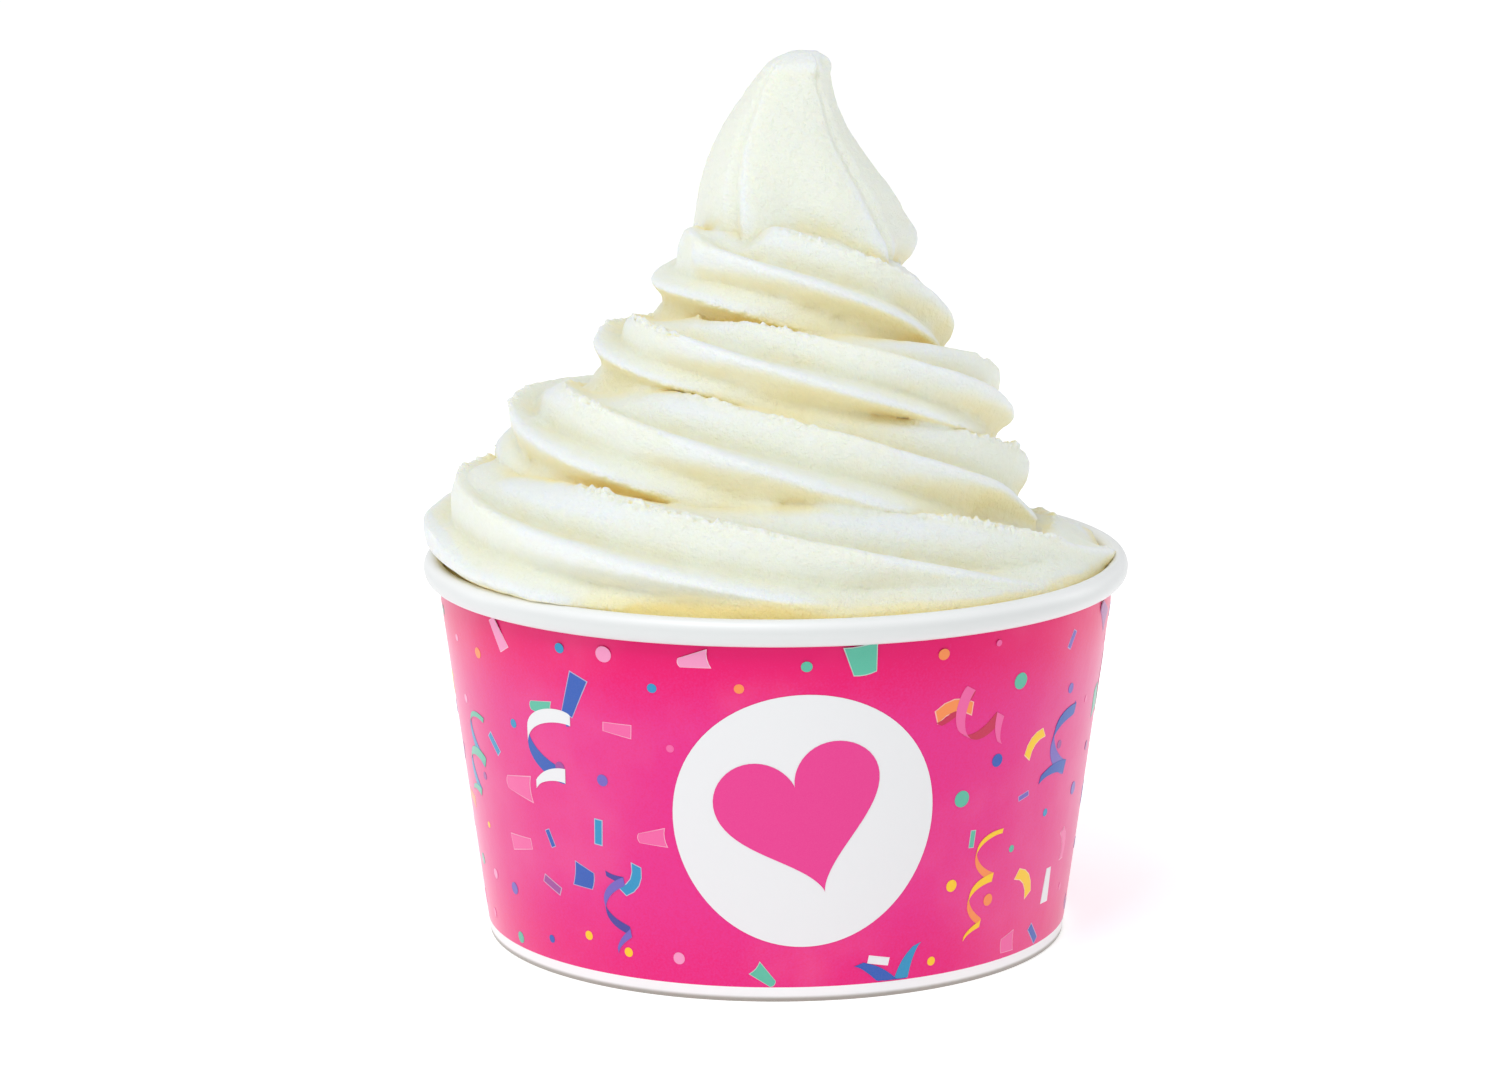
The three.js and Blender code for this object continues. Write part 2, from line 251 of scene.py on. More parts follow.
def ring_faces(rings, points):
    """Triangles between rings of points, both ways round alike, with a fan on each end."""
    i, j = np.meshgrid(np.arange(rings - 1), np.arange(points), indexing="ij")
    a = (i * points + j).ravel()
    b = (i * points + (j + 1) % points).ravel()
    j = np.arange(points)
    k = (j + 1) % points
    top, hub = (rings - 1) * points, rings * points
    return np.concatenate([
        np.stack([a, b, b + points], 1), np.stack([a, b + points, a + points], 1),
        np.stack([np.full(points, hub), k, j], 1),
        np.stack([np.full(points, hub + 1), top + j, top + k], 1)])


def body_through(name, rings):
    """Closed body through rings of points, turned outwards."""
    count, points, _ = rings.shape
    hubs = rings[[0, -1]].mean(axis=1)
    corners = np.concatenate([rings.reshape(-1, 3), hubs])
    faces = ring_faces(count, points)
    a, b, c = (corners[faces[:, k]] for k in range(3))
    if np.einsum("ij,ij->i", a, np.cross(b, c)).sum() < 0:
        faces = faces[:, ::-1]
    return mesh_object(name, corners, faces)


def turned(name, profile, facets):
    """Closed solid of revolution between the axis and a profile listed upwards, in millimetres."""
    angles = np.linspace(0, TAU, facets, endpoint=False)
    r = np.array([p[0] for p in profile])[:, None]
    z = np.array([p[1] for p in profile])[:, None]
    return body_through(name, np.stack([r * np.cos(angles), r * np.sin(angles), z + 0 * angles], -1))


def delete(thing):
    """Remove an object and its mesh."""
    mesh = thing.data
    bpy.data.objects.remove(thing)
    bpy.data.meshes.remove(mesh)


def made_plain(thing):
    """The object's evaluated mesh as its own plain mesh, with no modifiers left."""
    evaluated = thing.evaluated_get(bpy.context.evaluated_depsgraph_get())
    mesh = bpy.data.meshes.new_from_object(evaluated, preserve_all_data_layers=True,
                                           depsgraph=bpy.context.evaluated_depsgraph_get())
    old = thing.data
    thing.modifiers.clear()
    thing.data = mesh
    bpy.data.meshes.remove(old)
    mesh.name = thing.name
    return thing


def combined(base, others, operation):
    """Boolean of one closed body with others, which are used up."""
    for other in others:
        cut = base.modifiers.new("cut", "BOOLEAN")
        cut.solver = "MANIFOLD"
        cut.operation = operation
        cut.object = other
    made_plain(base)
    for other in others:
        delete(other)
    return base


def per_point(thing, field):
    """A field of three numbers for each point of the mesh."""
    flat = np.empty(3 * len(thing.data.vertices))
    thing.data.vertices.foreach_get(field, flat)
    return flat.reshape(-1, 3)


def point_normals(thing):
    return per_point(thing, "normal")


def points_of(thing):
    return per_point(thing, "co")


def move_points(thing, points):
    thing.data.vertices.foreach_set("co", points.ravel())
    thing.data.update()


def edge_ends(thing):
    """The two ends of each edge of the mesh, as two lists of point numbers."""
    flat = np.empty(2 * len(thing.data.edges), dtype=np.int32)
    thing.data.edges.foreach_get("vertices", flat)
    return flat.reshape(-1, 2).T


def neighbours_mean(thing, values, passes):
    """Values at the points, one or more for each, blended with those of their neighbours."""
    a, b = edge_ends(thing)
    both, other = np.concatenate([a, b]), np.concatenate([b, a])
    share = np.maximum(np.bincount(both, minlength=len(values)), 1)

    def blended(column):
        for _ in range(passes):
            column = 0.5 * column + 0.5 * np.bincount(both, column[other], len(column)) / share
        return column
    return blended(values) if values.ndim == 1 else np.stack([blended(column) for column in values.T], 1)


def hollowness(thing, passes):
    """How far each point lies below its smoothed surroundings, in millimetres, positive in a groove."""
    points = points_of(thing) / MM
    return np.einsum("ij,ij->i", neighbours_mean(thing, points, passes) - points, point_normals(thing))


def by_rim(points):
    """How far each point lies in the zone below the rim's top and inside the rim, from 0 to 1."""
    top, low = RIM_SPACE_HEIGHTS
    radius = np.hypot(points[:, 0], points[:, 1])
    return ease(-points[:, 2], -top, -low) * (1 - ease(radius, *RIM_SPACE_RADII))


def fill_creases(thing, shelter, passes):
    """Raise the sheltered creases where one body meets another, and leave every ridge as sharp as it is."""
    points = points_of(thing)
    shallow = ease(points[:, 2] / MM, 59.5, 61.0) * by_rim(points / MM)
    weight = np.maximum(ease(shelter, 0.25, 0.6), shallow)[:, None]
    for done in range(passes):
        if done % 10 == 0:
            move_points(thing, points)
            normals = point_normals(thing)
        move = neighbours_mean(thing, points, 1) - points
        rise = np.einsum("ij,ij->i", move, normals)[:, None]
        points = points + weight * (0.5 * (move - rise * normals) + 2 * np.maximum(rise, 0) * normals)
    move_points(thing, points)


def drop_loose_bits(thing):
    """Keep only the mesh's largest connected shell."""
    a, b = edge_ends(thing)
    label = np.arange(len(thing.data.vertices))
    while True:
        low = np.minimum(label[a], label[b])
        fresh = label.copy()
        np.minimum.at(fresh, a, low)
        np.minimum.at(fresh, b, low)
        fresh = fresh[fresh]
        if (fresh == label).all():
            break
        label = fresh
    kept = label == np.bincount(label).argmax()
    if kept.all():
        return
    work = bmesh.new()
    work.from_mesh(thing.data)
    work.verts.ensure_lookup_table()
    bmesh.ops.delete(work, geom=[work.verts[i] for i in np.flatnonzero(~kept)], context="VERTS")
    work.to_mesh(thing.data)
    work.free()


def openness(thing, blockers, rays, reach):
    """How much of the surroundings each point of a mesh can see past the blockers, from 0 to 1."""
    corners, faces = [], []
    for blocker in blockers:
        start = len(corners)
        corners.extend(points_of(blocker).tolist())
        faces.extend([start + i for i in p.vertices] for p in blocker.data.polygons)
    tree = BVHTree.FromPolygons(corners, faces)
    points, normals = points_of(thing), point_normals(thing)
    turn = (np.arange(rays) * GOLDEN_SHARE % 1) * TAU
    rise = np.sqrt((np.arange(rays) + 0.5) / rays)
    helper = np.where(np.abs(normals[:, 2:]) < 0.9, (0.0, 0.0, 1.0), (1.0, 0.0, 0.0))
    side = np.cross(normals, helper)
    side /= np.linalg.norm(side, axis=1)[:, None]
    up = np.cross(normals, side)
    start = points + normals * RAY_START
    seen = np.zeros(len(points))
    spin = np.random.default_rng(1).uniform(0, TAU, len(points))
    for angle, level in zip(turn, rise):
        flat = angle + spin
        way = (side * (level * np.cos(flat))[:, None] + up * (level * np.sin(flat))[:, None]
               + normals * math.sqrt(1 - level * level))
        for i, (origin, direction) in enumerate(zip(start.tolist(), way.tolist())):
            distance = tree.ray_cast(origin, direction, reach)[3]
            seen[i] += 1 if distance is None else 0.6 * distance / reach
    return neighbours_mean(thing, seen / rays, 4)


def store(thing, name, values):
    """Keep one number for each point of the mesh."""
    layer = thing.data.attributes.get(name) or thing.data.attributes.new(name, "FLOAT", "POINT")
    layer.data.foreach_set("value", np.asarray(values, dtype=np.float32))


def stored(thing, name):
    """The numbers kept under a name, one for each point."""
    values = np.empty(len(thing.data.vertices), dtype=np.float32)
    thing.data.attributes[name].data.foreach_get("value", values)
    return values


def refine(thing, name, least):
    """Split the edges of the mesh where a stored number reaches the least value."""
    work = bmesh.new()
    work.from_mesh(thing.data)
    layer = work.verts.layers.float[name]
    chosen = [edge for edge in work.edges if min(edge.verts[0][layer], edge.verts[1][layer]) > least]
    bmesh.ops.subdivide_edges(work, edges=chosen, cuts=1, use_grid_fill=True)
    bmesh.ops.triangulate(work, faces=[face for face in work.faces if len(face.verts) > 3])
    work.to_mesh(thing.data)
    work.free()


# ---------------------------------------------------------------- materials

def add_node(tree, kind, settings, sockets):
    """New node of a tree: its settings, or those of its ramp, then the values or links of its sockets."""
    made = tree.nodes.new(kind)
    for name, setting in (settings or {}).items():
        if name == "stops":
            while len(made.color_ramp.elements) < len(setting):
                made.color_ramp.elements.new(0.5)
            for element, (place, colour) in zip(made.color_ramp.elements, setting):
                element.position, element.color = place, colour
        else:
            setattr(made.color_ramp if kind == "ShaderNodeValToRGB" else made, name, setting)
    for name, given in (sockets or {}).items():
        for one in given if isinstance(given, list) else [given]:
            feed(tree, made.inputs[name], one)
    return made


def feed(tree, socket, given):
    """Link a socket to another, or set its value."""
    given = getattr(given, "socket", given)
    if isinstance(given, bpy.types.NodeSocket):
        tree.links.new(given, socket)
    else:
        socket.default_value = given


class Value:
    """A socket in a material that takes part in Python arithmetic."""

    def __init__(self, paint, socket):
        self.paint = paint
        self.socket = socket

    def _maths(self, operation, first, second):
        return self.paint.node("ShaderNodeMath", {"operation": operation}, {0: first, 1: second})

    def __add__(self, other):
        return self._maths("ADD", self, other)

    def __mul__(self, other):
        return self._maths("MULTIPLY", self, other)

    def __sub__(self, other):
        return self._maths("SUBTRACT", self, other)

    def __rsub__(self, other):
        return self._maths("SUBTRACT", other, self)

    __radd__ = __add__
    __rmul__ = __mul__

    def between(self, low, high):
        """0 below low, 1 above high, smooth between."""
        return self.paint.node("ShaderNodeMapRange", {"interpolation_type": "SMOOTHSTEP"},
                               {"Value": self, "From Min": low, "From Max": high})


class Paint:
    """One material and a short way to add nodes to it."""

    def __init__(self, name):
        self.material = bpy.data.materials.new(name)
        self.material.use_nodes = True
        self.tree = self.material.node_tree

    def node(self, kind, settings=None, sockets=None, out=0):
        return Value(self, add_node(self.tree, kind, settings, sockets).outputs[out])

    def set(self, **sockets):
        """Feed the sockets of the material's shader, named with _ for each space."""
        for name, given in sockets.items():
            feed(self.tree, self.tree.nodes["Principled BSDF"].inputs[name.replace("_", " ")], given)
        return self.material

    def place(self):
        return self.node("ShaderNodeTexCoord", out=3)

    def height(self):
        return self.node("ShaderNodeSeparateXYZ", {}, {"Vector": self.place()}, out=2)

    def noise(self, scale, detail=2.0, roughness=0.5):
        return self.node("ShaderNodeTexNoise", {}, {
            "Vector": self.place(), "Scale": scale, "Detail": detail, "Roughness": roughness})

    def attribute(self, name, out=2):
        return self.node("ShaderNodeAttribute", {"attribute_name": name}, out=out)

    def mix(self, factor, a, b):
        return self.node("ShaderNodeMix", {"data_type": "RGBA"}, {0: factor, 6: a, 7: b}, out=2)

    def bump(self, height, distance, strength=1.0, **under):
        """Relief of a height in metres, over the relief given as Normal, if any."""
        return self.node("ShaderNodeBump", {}, {
            "Height": height, "Distance": distance, "Strength": strength, **under})


def rgba(colour):
    return (*colour[:3], 1.0)


def yogurt_material(sizes):
    """Pale frozen yogurt with an icy grain, whitened on the crests by painted highlight, deeper cream where
    sheltered by painted shade.
    """
    paint = Paint("frozen_yogurt")
    mottle = paint.noise(140, 3)
    shelter = paint.attribute("shelter") + 0.10 * (mottle - 0.5)
    crest = paint.attribute("crest")
    underside = paint.attribute("underside")
    speckle = paint.noise(1900, 2, 0.6)
    # Painted shade: concave places between two ridges take the valley colour.
    open_face = paint.mix(crest.between(-0.12, -0.6), rgba(sizes.flat_colour), rgba(sizes.valley_shade_colour))
    # Painted shade: downward-facing places on the lowest coil take the darker underside colour.
    face = paint.mix(underside, open_face, rgba(sizes.underside_shade_colour))
    # Painted highlight: the crests take the whiter crest colour, less so on the lowest coil's underside,
    # with a random speckle.
    pale = crest.between(0.05, 0.45) + 0.5 * (speckle - 0.5) - 0.6 * underside
    flat = paint.mix(pale, face, rgba(sizes.crest_highlight_colour))
    # Painted shade: the more sheltered a point, the deeper cream it is in the grooves and the more amber in
    # the crevices.
    body = paint.mix(shelter.between(0.10, 0.46), flat, rgba(sizes.groove_shade_colour))
    colour = paint.mix(shelter.between(0.45, 0.80), body, rgba(sizes.crevice_shade_colour))
    grain = paint.noise(2000, 3, 0.65)
    pores = paint.bump(paint.noise(800, 4, 0.6), 0.00045)
    return paint.set(Base_Color=colour, Roughness=0.5 - 0.18 * (grain - 0.5),
                     Normal=paint.bump(grain, 0.0003, Normal=pores), Subsurface_Weight=0.5,
                     Subsurface_Radius=(1.0, 0.8, 0.45), Subsurface_Scale=0.003, Specular_IOR_Level=0.3,
                     Sheen_Weight=0.05, Sheen_Roughness=0.4)


def paper_bump(paint, strength):
    """The faint relief of the paper's fibres."""
    return paint.bump(paint.noise(420, 4, 0.55), 0.00012, strength)


def as_print(paint, colour, roughness):
    """Finish of a print on coated paper in a colour."""
    return paint.set(Base_Color=colour, Roughness=roughness, Normal=paper_bump(paint, 0.22),
                     Specular_IOR_Level=0.22, Sheen_Weight=0.4, Sheen_Roughness=0.35)


def printed_material(sizes):
    """Coated paper printed all over in one ink, with the print's slight unevenness, painted shade under the
    rim and near the foot, and a painted reflection as pale clouds.
    """
    paint = Paint("pink_print")
    speckle = paint.noise(3000, 2, 0.6)
    drift = paint.noise(28, 2)
    height = paint.height()
    # Painted shade: the ink turns deeper under the rim and towards the foot; the speckle and the drift are
    # the print's own unevenness.
    deep = (0.1 + height.between(0.040, 0.057) + 0.4 * height.between(0.018, 0.003)
            + 1.4 * (speckle - 0.5) + 0.4 * (drift - 0.5))
    ink = paint.mix(deep, rgba(sizes.ink_colour), rgba(sizes.deep_ink_and_shade_colour))
    # Painted reflection: soft pale clouds over the print.
    painted_reflection = 0.13 * paint.noise(38, 3, 0.55).between(0.45, 0.8)
    return as_print(paint, paint.mix(painted_reflection, ink, rgba(sizes.reflection_haze_colour)), 0.36 + 0.08 * (drift - 0.5))


def confetti_material():
    """Printed inks that each piece of confetti carries as its own colour."""
    paint = Paint("confetti_inks")
    speckle = paint.noise(5200, 2, 0.6)
    pale = speckle * 0.05 + 0.42 * paint.attribute("pale_edge")
    return as_print(paint, paint.mix(pale, paint.attribute("ink", out=0), PALE_INK), 0.36)


def paper_material(sizes):
    """White coated paperboard with random cloudy tone, greyer by painted shade where the rim turns down and
    by a painted contact shadow where the foot meets the table.
    """
    paint = Paint("white_paper")
    white = sizes.paper_colour
    cloud = paint.noise(60, 3).between(0.3, 0.8)
    clean = paint.mix(cloud, rgba(white), rgba([c * 0.965 for c in white[:3]]))
    # Painted shade on the rim's outer and lower side.
    rim_shade = paint.mix(paint.attribute("rim_side"), clean, rgba(sizes.rim_shade_colour))
    # Painted contact shadow on the bare paper at the table.
    colour = paint.mix(paint.height().between(0.0011, 0.0004), rim_shade, rgba(sizes.foot_shadow_colour))
    return paint.set(Base_Color=colour, Roughness=0.42, Normal=paper_bump(paint, 0.3), Coat_Weight=0.25,
                     Coat_Roughness=0.3, Subsurface_Weight=0.08, Subsurface_Radius=(1, 1, 1),
                     Subsurface_Scale=0.0006)


def floor_material(stage):
    """Plain pale floor that gives off a little light of its own."""
    return Paint("pale_floor").set(
        Base_Color=rgba(stage.floor_colour), Roughness=0.9, Specular_IOR_Level=0.1,
        Emission_Color=(1, 1, 1, 1), Emission_Strength=stage.floor_glow)


# ---------------------------------------------------------------- sizes a user would change

def a_length(name, description, default):
    """A length that a user can change, given in metres."""
    return bpy.props.FloatProperty(
        name=name, description=description, unit="LENGTH", precision=5, default=default)


def an_angle(name, description, default):
    return bpy.props.FloatProperty(name=name, description=description, subtype="ANGLE", default=default)


def a_power(name, description, default):
    return bpy.props.FloatProperty(name=name, description=description, unit="POWER", default=default)


def a_number(name, description, default):
    return bpy.props.FloatProperty(name=name, description=description, default=default)


def a_colour(name, description, default):
    return bpy.props.FloatVectorProperty(
        name=name, description=description, subtype="COLOR", size=3, min=0, max=1, default=default)


class YogurtCupSizes(bpy.types.PropertyGroup):
    rim_radius: a_length("Rim Radius", "From the axis to the outside of the rolled rim", RIM_RADIUS)
    curl_height: a_length("Curl Height", "Height of the middle of the rolled rim",
                          WALL_HIGH[2] - CURL_HALF_HEIGHT * MM)
    base_radius: a_length("Base Radius", "Outer radius of the wall at the table", 46.1 * MM)
    paper: a_length("Paper", "Thickness of the paperboard", 0.5 * MM)
    band: a_length("White Band", "Height of the unprinted band at the foot", 2.35 * MM)
    seam_heading: an_angle("Seam Heading", "Where the wall's glued seam runs, counted from +X",
                           math.radians(78))
    ink_colour: a_colour("Ink", "Colour of the print", (0.69, 0.024, 0.235))
    # The deep ink gives the print's random unevenness and the painted shade under the rim and near the foot.
    deep_ink_and_shade_colour: a_colour("Deep Ink", "Colour of the print under the rim", (0.72, 0.0, 0.135))
    # Colour of the painted reflection that lies as soft clouds on the print.
    reflection_haze_colour: a_colour("Haze", "Colour of the soft clouds on the print", (0.82, 0.36, 0.56))
    paper_colour: a_colour("Paper Colour", "Colour of the bare paper", (0.80, 0.82, 0.825))
    # Painted shade on the rim's outer and lower side.
    rim_shade_colour: a_colour("Rim Side Colour", "Colour of the rim's outer and lower side",
                              (0.645, 0.67, 0.67))
    # Painted contact shadow at the table.
    foot_shadow_colour: a_colour("Foot Colour", "Colour of the bare paper at the table", (0.32, 0.29, 0.26))


class YogurtConfettiSizes(bpy.types.PropertyGroup):
    spacing: a_length("Spacing", "Least distance between two pieces of confetti", 7.4 * MM)
    smallest: a_number("Smallest", "Scale of the smallest piece", 0.75)
    largest: a_number("Largest", "Scale of the largest piece", 1.35)
    seed: bpy.props.IntProperty(name="Seed", description="Which scatter of the confetti", default=11)
    roundel_radius: a_length("Roundel Radius", "Radius of the white roundel on the front", 20.2 * MM)
    roundel_heading: an_angle("Roundel Heading", "Direction the roundel faces, counted from +X",
                              math.radians(-85))
    roundel_height: a_length("Roundel Height", "Height of the roundel's middle", 29.2 * MM)


class YogurtSwirlSizes(bpy.types.PropertyGroup):
    lobe_depth: a_number("Lobe Depth", "Share of the rope's radius that the grooves cut away", 0.38)
    lobe_sharpness: a_number("Lobe Sharpness", "Lower is sharper crests and wider grooves", 1.7)
    unevenness: a_length("Unevenness", "Height of the slow lumps along the rope", 0.45 * MM)
    grain: a_length("Grain", "Height of the icy grain in the shape itself", 0.05 * MM)
    tearing: a_length("Tearing", "Height of the ragged teeth on the upper lips", 0.6 * MM)
    ring_spacing: a_length("Ring Spacing", "Fineness along the rope", 0.62 * MM)
    points_per_lobe: bpy.props.IntProperty(
        name="Points per Lobe", description="Fineness round the rope", default=16)
    # Painted highlight on the crests.
    crest_highlight_colour: a_colour("Crest", "Colour of the crests", (0.79, 0.833, 0.84))
    flat_colour: a_colour("Flat", "Colour between crest and groove", (0.805, 0.838, 0.755))
    # Painted shade in the open valleys.
    valley_shade_colour: a_colour("Valley", "Colour of the open valleys between two ridges", (0.79, 0.823, 0.695))
    # Painted shade on the lowest coil's downward-facing side.
    underside_shade_colour: a_colour("Underside", "Colour of the lowest coil's underside, by the rim",
                               (0.66, 0.69, 0.60))
    # Painted shade in the grooves and, deeper, between the coils.
    groove_shade_colour: a_colour("Groove", "Colour of the grooves", (0.865, 0.808, 0.525))
    crevice_shade_colour: a_colour("Crevice", "Colour deep between the coils", (0.90, 0.75, 0.33))


class YogurtStageSettings(bpy.types.PropertyGroup):
    floor_colour: a_colour("Floor", "Colour of the floor", (0.9, 0.9, 0.9))
    floor_glow: a_number("Floor Glow", "Strength of the light that the floor gives off", 0.45)
    sky: a_number("Sky", "Strength of the even light", 0.66)
    key: a_power("Key", "Power of the light above on the left", 3.8)
    side_left: a_power("Left Panel", "Power of the panel on the left", 0.38)
    side_right: a_power("Right Panel", "Power of the panel on the right", 0.4)
    camera_distance: a_length("Camera Distance", "From the cup's axis to the camera, level", 0.75)
    camera_height: a_length("Camera Height", "Height of the camera", 0.2096)
    camera_pitch: an_angle("Camera Pitch", "How far the camera looks down", 0.1935)
    camera_yaw: an_angle("Camera Yaw", "How far the camera turns right", -0.0042)
    camera_roll: an_angle("Camera Roll", "How far the camera rolls", -0.0022)
    lens: a_number("Lens", "Focal length on a sensor 36 mm wide", 36 * 4802 / 1512)


# ---------------------------------------------------------------- cup

class CupForm:
    """Sizes of the cup in millimetres, and the surfaces that other pieces lie on."""

    def __init__(self, sizes):
        self.rim = sizes.rim_radius / MM
        self.curl_z = sizes.curl_height / MM
        self.base = sizes.base_radius / MM
        self.paper = sizes.paper / MM
        self.band = sizes.band / MM
        self.seam = sizes.seam_heading

    def outer(self, z):
        return self.base + WALL_SLOPE * z

    def inner(self, z):
        return self.outer(z) - self.paper

    def curl(self, degrees, inset):
        """Point of the rim's curl at an angle from its outer side."""
        angle = math.radians(degrees)
        return (self.rim - CURL_HALF_WIDTH + (CURL_HALF_WIDTH - inset) * math.cos(angle),
                self.curl_z + (CURL_HALF_HEIGHT - inset) * math.sin(angle))

    def seam_lift(self, angles):
        """How far the lapped seam stands out at each heading: sharp on one side, eased on the other."""
        past = (angles - self.seam + math.pi) % TAU - math.pi
        lap = SEAM_LAP / self.base
        return np.where(past >= 0, 1 - ease(past, 0.25 * lap, lap), 0.0) * SEAM_HEIGHT

    def headings(self, count):
        """Evenly spaced headings, with two close together at the seam's edge."""
        even = np.linspace(0, TAU, count, endpoint=False) + 0.5 * TAU / count
        edge = self.seam % TAU
        keep = even[np.abs(even - edge) > 0.6 * TAU / count]
        return np.sort(np.concatenate([keep, [edge - SEAM_EDGE, edge + SEAM_EDGE]]))


def loft(name, profile, headings, lift):
    """Mesh turned about the axis from a closed profile of radius and height pairs, with a lift outwards."""
    r, z = np.array(profile).T
    radius = r + lift
    points = np.stack([radius * np.cos(headings)[:, None], radius * np.sin(headings)[:, None],
                       z + 0 * headings[:, None]], -1)
    columns, steps = points.shape[:2]
    i, j = np.meshgrid(np.arange(columns), np.arange(steps), indexing="ij")
    column, step = (i + 1) % columns * steps, (j + 1) % steps
    faces = np.stack([i * steps + j, column + j, column + step, i * steps + step], -1)
    return mesh_object(name, points.reshape(-1, 3), faces.reshape(-1, 4))


class MakeCup(bpy.types.Operator):
    """Make the paper cup: its wall with the rolled rim, and its recessed bottom"""
    bl_idname = "yogurt_cup.make_cup"
    bl_label = "Make Cup"

    def execute(self, context):
        sizes = context.scene.yogurt_cup
        form = CupForm(sizes)
        pink = printed_material(sizes)
        white = paper_material(sizes)
        self.wall(form, pink, white)
        self.bottom(form, white)
        return {"FINISHED"}

    def wall(self, form, pink, white):
        curl = [180 - 290 * i / CURL_STEPS for i in range(CURL_STEPS + 1)]
        outer = [(form.outer(0) - 0.15, 0.0), (form.outer(0.15), 0.15)]
        outer += [(form.outer(z), z) for z in (form.band - 0.02, form.band + 0.02, 10, 20, 30, 40, 48, 54)]
        under = [form.curl(angle, form.paper) for angle in curl]
        top = [form.curl(angle, 0) for angle in reversed(curl)]
        inner = [(form.inner(z), z) for z in (54, 48, 40, 30, 20, 10, 6.5)]
        inner += [(form.inner(6.4) - 0.5, 6.2), (form.inner(3) - 0.55, 3), (form.inner(0.6) - 0.5, 0.35),
                  (form.inner(0) - 0.2, 0.0)]
        profile = outer + under + top + inner
        headings = form.headings(WALL_COLUMNS)
        lift = form.seam_lift(headings)[:, None] * np.ones(len(profile))
        lift[:, -len(inner):] = 0
        wall = loft("cup_wall_paper", profile, headings, lift)
        # How much painted shade each step of the rim's curl takes: full on its outer and lower side, fading
        # out towards its top, none on its inner side.
        rim_shade = [1 - ease(angle, 5, 45) for angle in reversed(curl)]
        rim_side = [0] * len(outer + under) + rim_shade + [0] * len(inner)
        store(wall, "rim_side", np.tile(rim_side, len(headings)))
        wall.data.materials.append(white)
        wall.data.materials.append(pink)
        # The print runs from the step above the white band to the third step inside the rim's curl.
        printed = np.zeros((len(headings), len(profile)), dtype=np.int32)
        printed[:, 3:len(outer) + 3] = 1
        wall.data.polygons.foreach_set("material_index", printed.ravel())
        wall.data.set_sharp_from_angle(angle=math.radians(50))
        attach(wall, "root")
        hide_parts("cup_wall")

    def bottom(self, form, white):
        edge = form.inner(6.5) - 0.55 - BOTTOM_GAP
        foot = form.inner(0.8)
        disc = turned("cup_bottom_paper", [
            (edge * 0.5, 6.2), (edge * 0.86, 6.3), (edge - 1.2, 6.3), (edge - 0.6, 6.1), (edge - 0.55, 5.4),
            (foot - 1.3, 0.6), (foot - 0.75, 0.6), (edge, 5.6), (edge, 6.6), (edge - 0.4, 7.0),
            (edge * 0.86, 6.95), (edge * 0.5, 6.85)], 160)
        disc.data.materials.append(white)
        disc.data.set_sharp_from_angle(angle=math.radians(50))
        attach(disc, "root")
        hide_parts("cup_base")


# ---------------------------------------------------------------- print

INKS = {
    "white": (0.71, 0.73, 0.74), "pale_pink": (0.78, 0.27, 0.48), "rose": (0.76, 0.10, 0.32),
    "crimson": (0.50, 0.008, 0.06), "blue": (0.012, 0.085, 0.40), "teal": (0.008, 0.25, 0.47),
    "mint": (0.08, 0.44, 0.31), "yellow": (0.84, 0.53, 0.006), "orange": (0.82, 0.24, 0.06),
    "violet": (0.14, 0.10, 0.45), "deep_violet": (0.045, 0.04, 0.28), "plum": (0.30, 0.05, 0.28),
}
SCATTER_INKS = ["white", "pale_pink", "rose", "blue", "teal", "mint", "yellow", "orange", "violet", "blue",
                "yellow", "plum", "rose", "pale_pink"]
PALE_INK = (0.85, 0.75, 0.8, 1)

# The print, in millimetres: the radius at which it is drawn flat, the ink film's thickness, how far each
# film stands off the paper, and how far the confetti stays from the roundel.
FLAT_RADIUS = 50.0
FILM = 0.06
PRINT_LIFT = 0.05
EDGE_LIFT = 0.02
FRONT_LIFT = 0.03
ROUNDEL_LIFT = 0.07
HEART_LIFT = 0.13
ROUNDEL_MARGIN = 2.2

# The heart: its tilt, and one unit of its curve as a share of the roundel's radius.
HEART_TILT = math.radians(16)
HEART_SIZE = 0.0395

# Paper shapes of the confetti: half width, half height, how much narrower the top is, and how far it bends.
PAPERS = [(1.2, 2.7, 0.35, 0.0), (1.9, 1.8, -0.3, 0.05), (1.5, 2.3, 0.5, -0.12), (0.45, 1.5, 0.0, 0.0),
          (2.6, 0.75, 0.1, 0.14)]
DOTS = [0.75, 0.75, 1.0, 0.85, 0.65]

